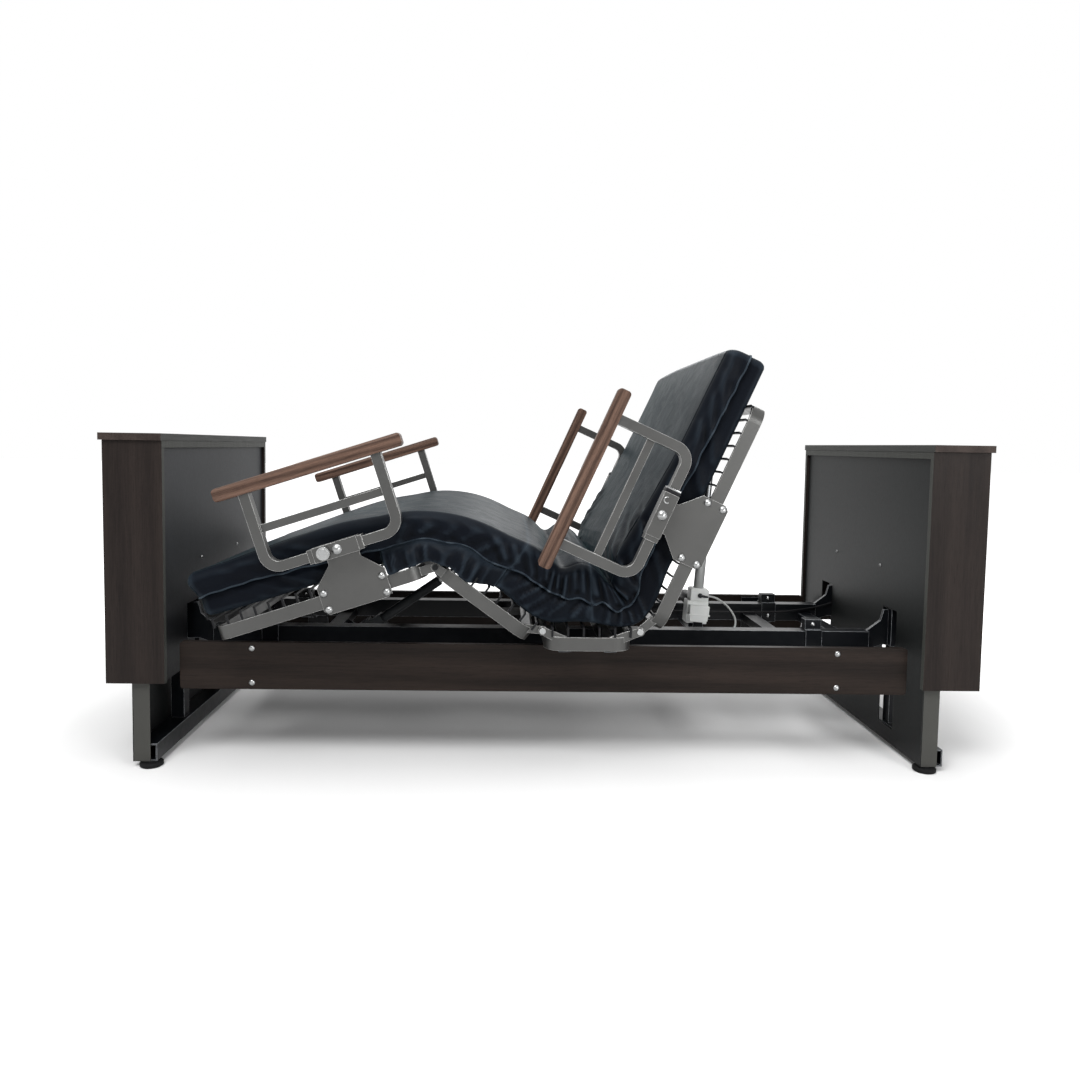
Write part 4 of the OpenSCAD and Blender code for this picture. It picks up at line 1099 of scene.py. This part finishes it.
def makeMattress():
    mattressFolds.update({side: makeFolds(seed) for side, seed in mattress["foldSeeds"].items()})
    rings = mattressRings()
    bent = [[bendToDeck(point) for point in ring] for ring in rings]
    bent = relaxCover(rings, bent)
    print("cover relaxed")

    def nearestRing(station):
        return min(range(len(rings)), key=lambda i: abs(rings[i][0].x - station))

    def cutPiece(name, first, last, closeFirst, closeLast, openEnd):
        return mattressPiece(
            name, rings[first : last + 1], bent[first : last + 1], closeFirst, closeLast, openEnd
        )

    footCut, seatCut = map(nearestRing, mattress["cuts"])
    foot = cutPiece("mattress_foot", 0, footCut, False, True, "foot")
    seat = cutPiece("mattress_seat", footCut, seatCut, True, True, None)
    back = cutPiece("mattress_back", seatCut, len(rings) - 1, True, False, "head")
    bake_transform(foot)
    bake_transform(seat)
    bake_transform(back)
    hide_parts("calf_pad")
    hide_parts("thigh_pad", "seat_pad")
    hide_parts("back_pad")
    print("mattress made:", [len(piece.data.polygons) for piece in (foot, seat, back)])


makeMattress()


# modelling helpers for the small rigid pieces
def takeNew(name, scale=(1, 1, 1)):
    # names the primitive that was just added and puts its place into its mesh
    piece = bpy.context.object
    piece.name = name
    piece.scale = scale
    bpy.ops.object.transform_apply(location=True, rotation=True, scale=True)
    return piece


def addBlock(name, low, high):
    leaveSelection()
    middle = [(a + b) / 2 for a, b in zip(low, high)]
    bpy.ops.mesh.primitive_cube_add(size=1, location=middle)
    return takeNew(name, [b - a for a, b in zip(low, high)])


def addDrum(name, start, end, radius, sides=40):
    leaveSelection()
    start, end = Vector(start), Vector(end)
    turn = (end - start).to_track_quat("Z", "Y").to_euler()
    bpy.ops.mesh.primitive_cylinder_add(
        vertices=sides, radius=radius, depth=(end - start).length, location=(start + end) / 2, rotation=turn
    )
    return takeNew(name)


def pickFaces(piece, way):
    # selects the faces that look along way, in edit mode
    if piece.mode != "OBJECT":
        bpy.ops.object.mode_set(mode="OBJECT")
    mesh = piece.data
    for parts in (mesh.polygons, mesh.edges, mesh.vertices):
        parts.foreach_set("select", [False] * len(parts))
    for face in mesh.polygons:
        if face.normal.dot(Vector(way)) > 0.9:
            face.select = True
    bpy.ops.object.mode_set(mode="EDIT")
    bpy.ops.mesh.select_mode(type="FACE")


def shapeEnd(piece, way, steps):
    # each step insets the faces that look along way, extrudes them that far and widens or narrows them
    pickFaces(piece, way)
    for inset, push, grow in steps:
        if inset:
            bpy.ops.mesh.inset(thickness=inset, depth=0)
        bpy.ops.mesh.extrude_region_move(TRANSFORM_OT_translate={"value": Vector(way) * push})
        bpy.ops.object.mode_set(mode="OBJECT")
        spots = [vertex.co for vertex in piece.data.vertices if vertex.select]
        middle = sum(spots, Vector()) / len(spots)
        bpy.ops.object.mode_set(mode="EDIT")
        bpy.ops.transform.resize(value=grow, center_override=middle)


def boreHole(piece, start, end, radius):
    cutter = addDrum("bore", start, end, radius)
    leaveSelection()
    bpy.context.view_layer.objects.active = piece
    bore = piece.modifiers.new("bore", "BOOLEAN")
    bore.operation = "DIFFERENCE"
    bore.object = cutter
    bpy.ops.object.modifier_apply(modifier="bore")
    bpy.data.objects.remove(cutter)


def softenEdges(piece, width, segments=3):
    choosePiece(piece)
    bevel = piece.modifiers.new("soft edges", "BEVEL")
    bevel.width = width
    bevel.segments = segments
    bevel.limit_method = "ANGLE"
    bevel.angle_limit = math.radians(35)
    bpy.ops.object.modifier_apply(modifier="soft edges")


def turnedPiece(name, start, end, radius, sides, way, steps, rounding):
    piece = addDrum(name, start, end, radius, sides)
    shapeEnd(piece, way, steps)
    softenEdges(piece, rounding, 2)
    return piece


def joinPieces(name, pieces):
    leaveSelection()
    for piece in pieces:
        piece.select_set(True)
    bpy.context.view_layer.objects.active = pieces[0]
    bpy.ops.object.join()
    pieces[0].name = name
    return pieces[0]


def smoothPath(points, steps):
    path = []
    spots = [Vector(point) for point in points]
    for k in range(len(spots) - 1):
        before, start = spots[max(k - 1, 0)], spots[k]
        end, after = spots[k + 1], spots[min(k + 2, len(spots) - 1)]
        for step in range(steps):
            t = step / steps
            path.append(
                0.5 * (2 * start + (end - before) * t + (2 * before - 5 * start + 4 * end - after) * t * t
                + (3 * start - before - 3 * end + after) * t**3)
            )
    path.append(spots[-1])
    return path


# back actuator: moulded housing, motor, guide tube and its lead, drawn upright and then leant
toHead, toFar, toNear = (1, 0, 0), (0, 1, 0), (0, -1, 0)
toTop, toFloor = (0, 0, 1), (0, 0, -1)
backActuator = {
    "pivot": (0.484, 0.0, 0.328),
    "lean": 4.13,  # degrees towards the head
    # blocks of the housing: low corner, high corner, rounding, and the steps that shape their ends
    "housing": {
        "body": ((-0.0355, -0.024, -0.0265), (0.0305, 0.024, 0.043), 0.003, {}),
        "socket": (
            (-0.027, -0.024, 0.043), (0.029, 0.024, 0.079), 0.0022, {toTop: [(0.003, 0.003, (0.97, 0.97, 1))]}
        ),
        "link": ((-0.030, -0.034, 0.018), (0.018, -0.022, 0.032), 0.0015, {}),
        "cover": ((-0.033, -0.058, 0.009), (0.026, -0.033, 0.034), 0.0011, {
            toFloor: [
                (0, 0.0002, (1.09, 1.16, 1)),  # lip
                (0, 0.0042, (1, 1, 1)),
                (0, 0.0002, (0.87, 0.78, 1)),  # narrower tub under it
                (0, 0.0144, (0.97, 0.97, 1)),
                (0, 0.006, (0.84, 0.80, 1)),
            ],
            toTop: [(0, 0.0001, (0.94, 0.90, 1))],
        }),
    },
    "socketBore": ((0, 0, 0.0600), (0, 0, 0.0900), 0.0158),
    # turned pieces: start, end, radius, sides, shaped end, its steps, rounding
    "motor": (
        (-0.014, 0.023, 0.036), (-0.014, 0.110, 0.036), 0.020, 40,
        toFar, [(0.003, -0.0025, (0.97, 1, 0.97)), (0.010, 0.002, (0.95, 1, 0.95))], 0.0008,
    ),
    "flange": (
        (0.002, -0.023, 0.061), (0.002, -0.027, 0.061), 0.0072, 28,
        toNear, [(0.0018, 0.0055, (0.9, 1, 0.9))], 0.0006,
    ),
    "spout": (
        (0.003, -0.0305, 0.061), (0.021, -0.0315, 0.0604), 0.0038, 20,
        toHead, [(0, 0.004, (1, 0.8, 0.8))], 0.0005,
    ),
    "tube": {"foot": 0.0605, "floor": 0.0615, "radius": 0.0155, "bore": 0.0105},
    "lead": [
        (0.5035, -0.0315, 0.3885), (0.516, -0.0325, 0.3885), (0.538, -0.040, 0.3835), (0.560, -0.052, 0.369),
        (0.576, -0.067, 0.350), (0.583, -0.083, 0.332), (0.580, -0.100, 0.317), (0.570, -0.117, 0.3075),
        (0.552, -0.139, 0.3015), (0.520, -0.158, 0.300), (0.440, -0.160, 0.300), (0.340, -0.160, 0.300),
        (0.240, -0.160, 0.300), (0.140, -0.158, 0.300), (0.090, -0.148, 0.300), (0.060, -0.128, 0.302),
        (0.046, -0.096, 0.306), (0.034, -0.064, 0.310), (0.018, -0.046, 0.312),
    ],
    "leadRadius": 0.0028,
}


def makeBackActuator():
    values = backActuator
    lean = math.radians(values["lean"])
    stand = Matrix.Translation(values["pivot"]) @ Matrix.Rotation(lean, 4, "Y")

    blocks = []
    for name, (low, high, rounding, ends) in values["housing"].items():
        block = addBlock(name, low, high)
        for way, steps in ends.items():
            shapeEnd(block, way, steps)
        softenEdges(block, rounding)
        if name == "socket":
            boreHole(block, *values["socketBore"])
        blocks.append(block)
    housing = joinPieces("back_motor_housing", blocks)
    finishPiece(housing, "whitePlastic", "back_housing", stand)
    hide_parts("back_actuator")

    motor = turnedPiece("back_motor", *values["motor"])
    finishPiece(motor, "grayPlastic", "back_housing", stand)

    tube = values["tube"]
    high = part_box("back_actuator")[1].z
    reach = (high - values["pivot"][2] - tube["radius"] * math.sin(lean)) / math.cos(lean)
    hollow = [(tube["radius"] - tube["bore"], tube["floor"] - reach, (1, 1, 1))]
    guide = turnedPiece(
        "back_guide_tube", (0, 0, tube["foot"]), (0, 0, reach), tube["radius"], 48, toTop, hollow, 0.0006
    )
    finishPiece(guide, "tubePaint", "back_housing", stand)

    plug = joinPieces("back_lead_plug", [turnedPiece(name, *values[name]) for name in ("flange", "spout")])
    finishPiece(plug, "grayPlastic", "back_housing", stand)

    mesh = bmesh.new()
    addTube(mesh, smoothPath(values["lead"], 6), values["leadRadius"], 10)
    bmesh.ops.recalc_face_normals(mesh, faces=mesh.faces)
    lead = meshPiece("back_motor_lead", mesh)
    finishPiece(lead, "leadSheath")
    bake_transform(lead)
    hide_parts("back_lead")
    print("back actuator made:", len(housing.data.polygons), len(lead.data.polygons))


makeBackActuator()

# keeper band, cap and wire hook at the upper end of each head rail's clamp sleeve, drawn flat
railKeeper = {
    "axis": (0.530, 0.468),  # out from the middle and up
    "sleeveEnd": 0.572,
    # start and end past the sleeve, half width, material, slot
    "blocks": {
        "keeper_band": (0.0010, 0.0095, 0.0186, "blackPlastic", "black_plastic"),
        "keeper_cap": (0.0095, 0.0140, 0.0176, "zinc", "zinc"),
    },
    "blockEnd": [(0.002, 0.0008, (1, 0.95, 0.95))],
    "rounding": 0.0007,
    "hook": {"along": -0.018, "rise": 0.006, "bend": 0.0075, "wire": 0.0017, "turn": 230},
    "face": 0.5485,
}


def makeRailKeeper(side, title):
    values = railKeeper
    across, level = values["axis"]
    sleeve = values["sleeveEnd"]
    waist, turn = deckHinges["waist"]
    pivot = Matrix.Translation((waist[0], 0, waist[1]))
    stand = pivot @ Matrix.Rotation(math.radians(turn), 4, "Y") @ pivot.inverted()
    for label, (near, far, half, material, slot) in values["blocks"].items():
        low = (sleeve + near, side * across - half, level - half)
        high = (sleeve + far, side * across + half, level + half)
        piece = addBlock(title + label, low, high)
        shapeEnd(piece, toHead, values["blockEnd"])
        softenEdges(piece, values["rounding"], 2)
        finishPiece(piece, material, title + "head_assist", stand)

    hook = values["hook"]
    wire, centre = hook["wire"], (hook["along"], 0, hook["rise"])
    leaveSelection()
    bpy.ops.mesh.primitive_circle_add(
        vertices=12, radius=wire, fill_type="NGON", location=(hook["along"] + hook["bend"], 0, hook["rise"])
    )
    piece = takeNew(title + "keeper_hook")
    bpy.ops.object.mode_set(mode="EDIT")
    bpy.ops.mesh.select_all(action="SELECT")
    bpy.ops.mesh.spin(steps=14, angle=math.radians(hook["turn"]), center=centre, axis=(0, 1, 0))
    bpy.ops.mesh.select_all(action="SELECT")
    bpy.ops.mesh.normals_make_consistent(inside=False)
    bpy.ops.transform.translate(value=(sleeve, side * (values["face"] + wire * 0.8), level))
    bpy.ops.object.mode_set(mode="OBJECT")
    finishPiece(piece, "zinc", "back_section", stand)


for side, title in ((-1, "near_"), (1, "far_")):
    makeRailKeeper(side, title)
print("rail keepers made")
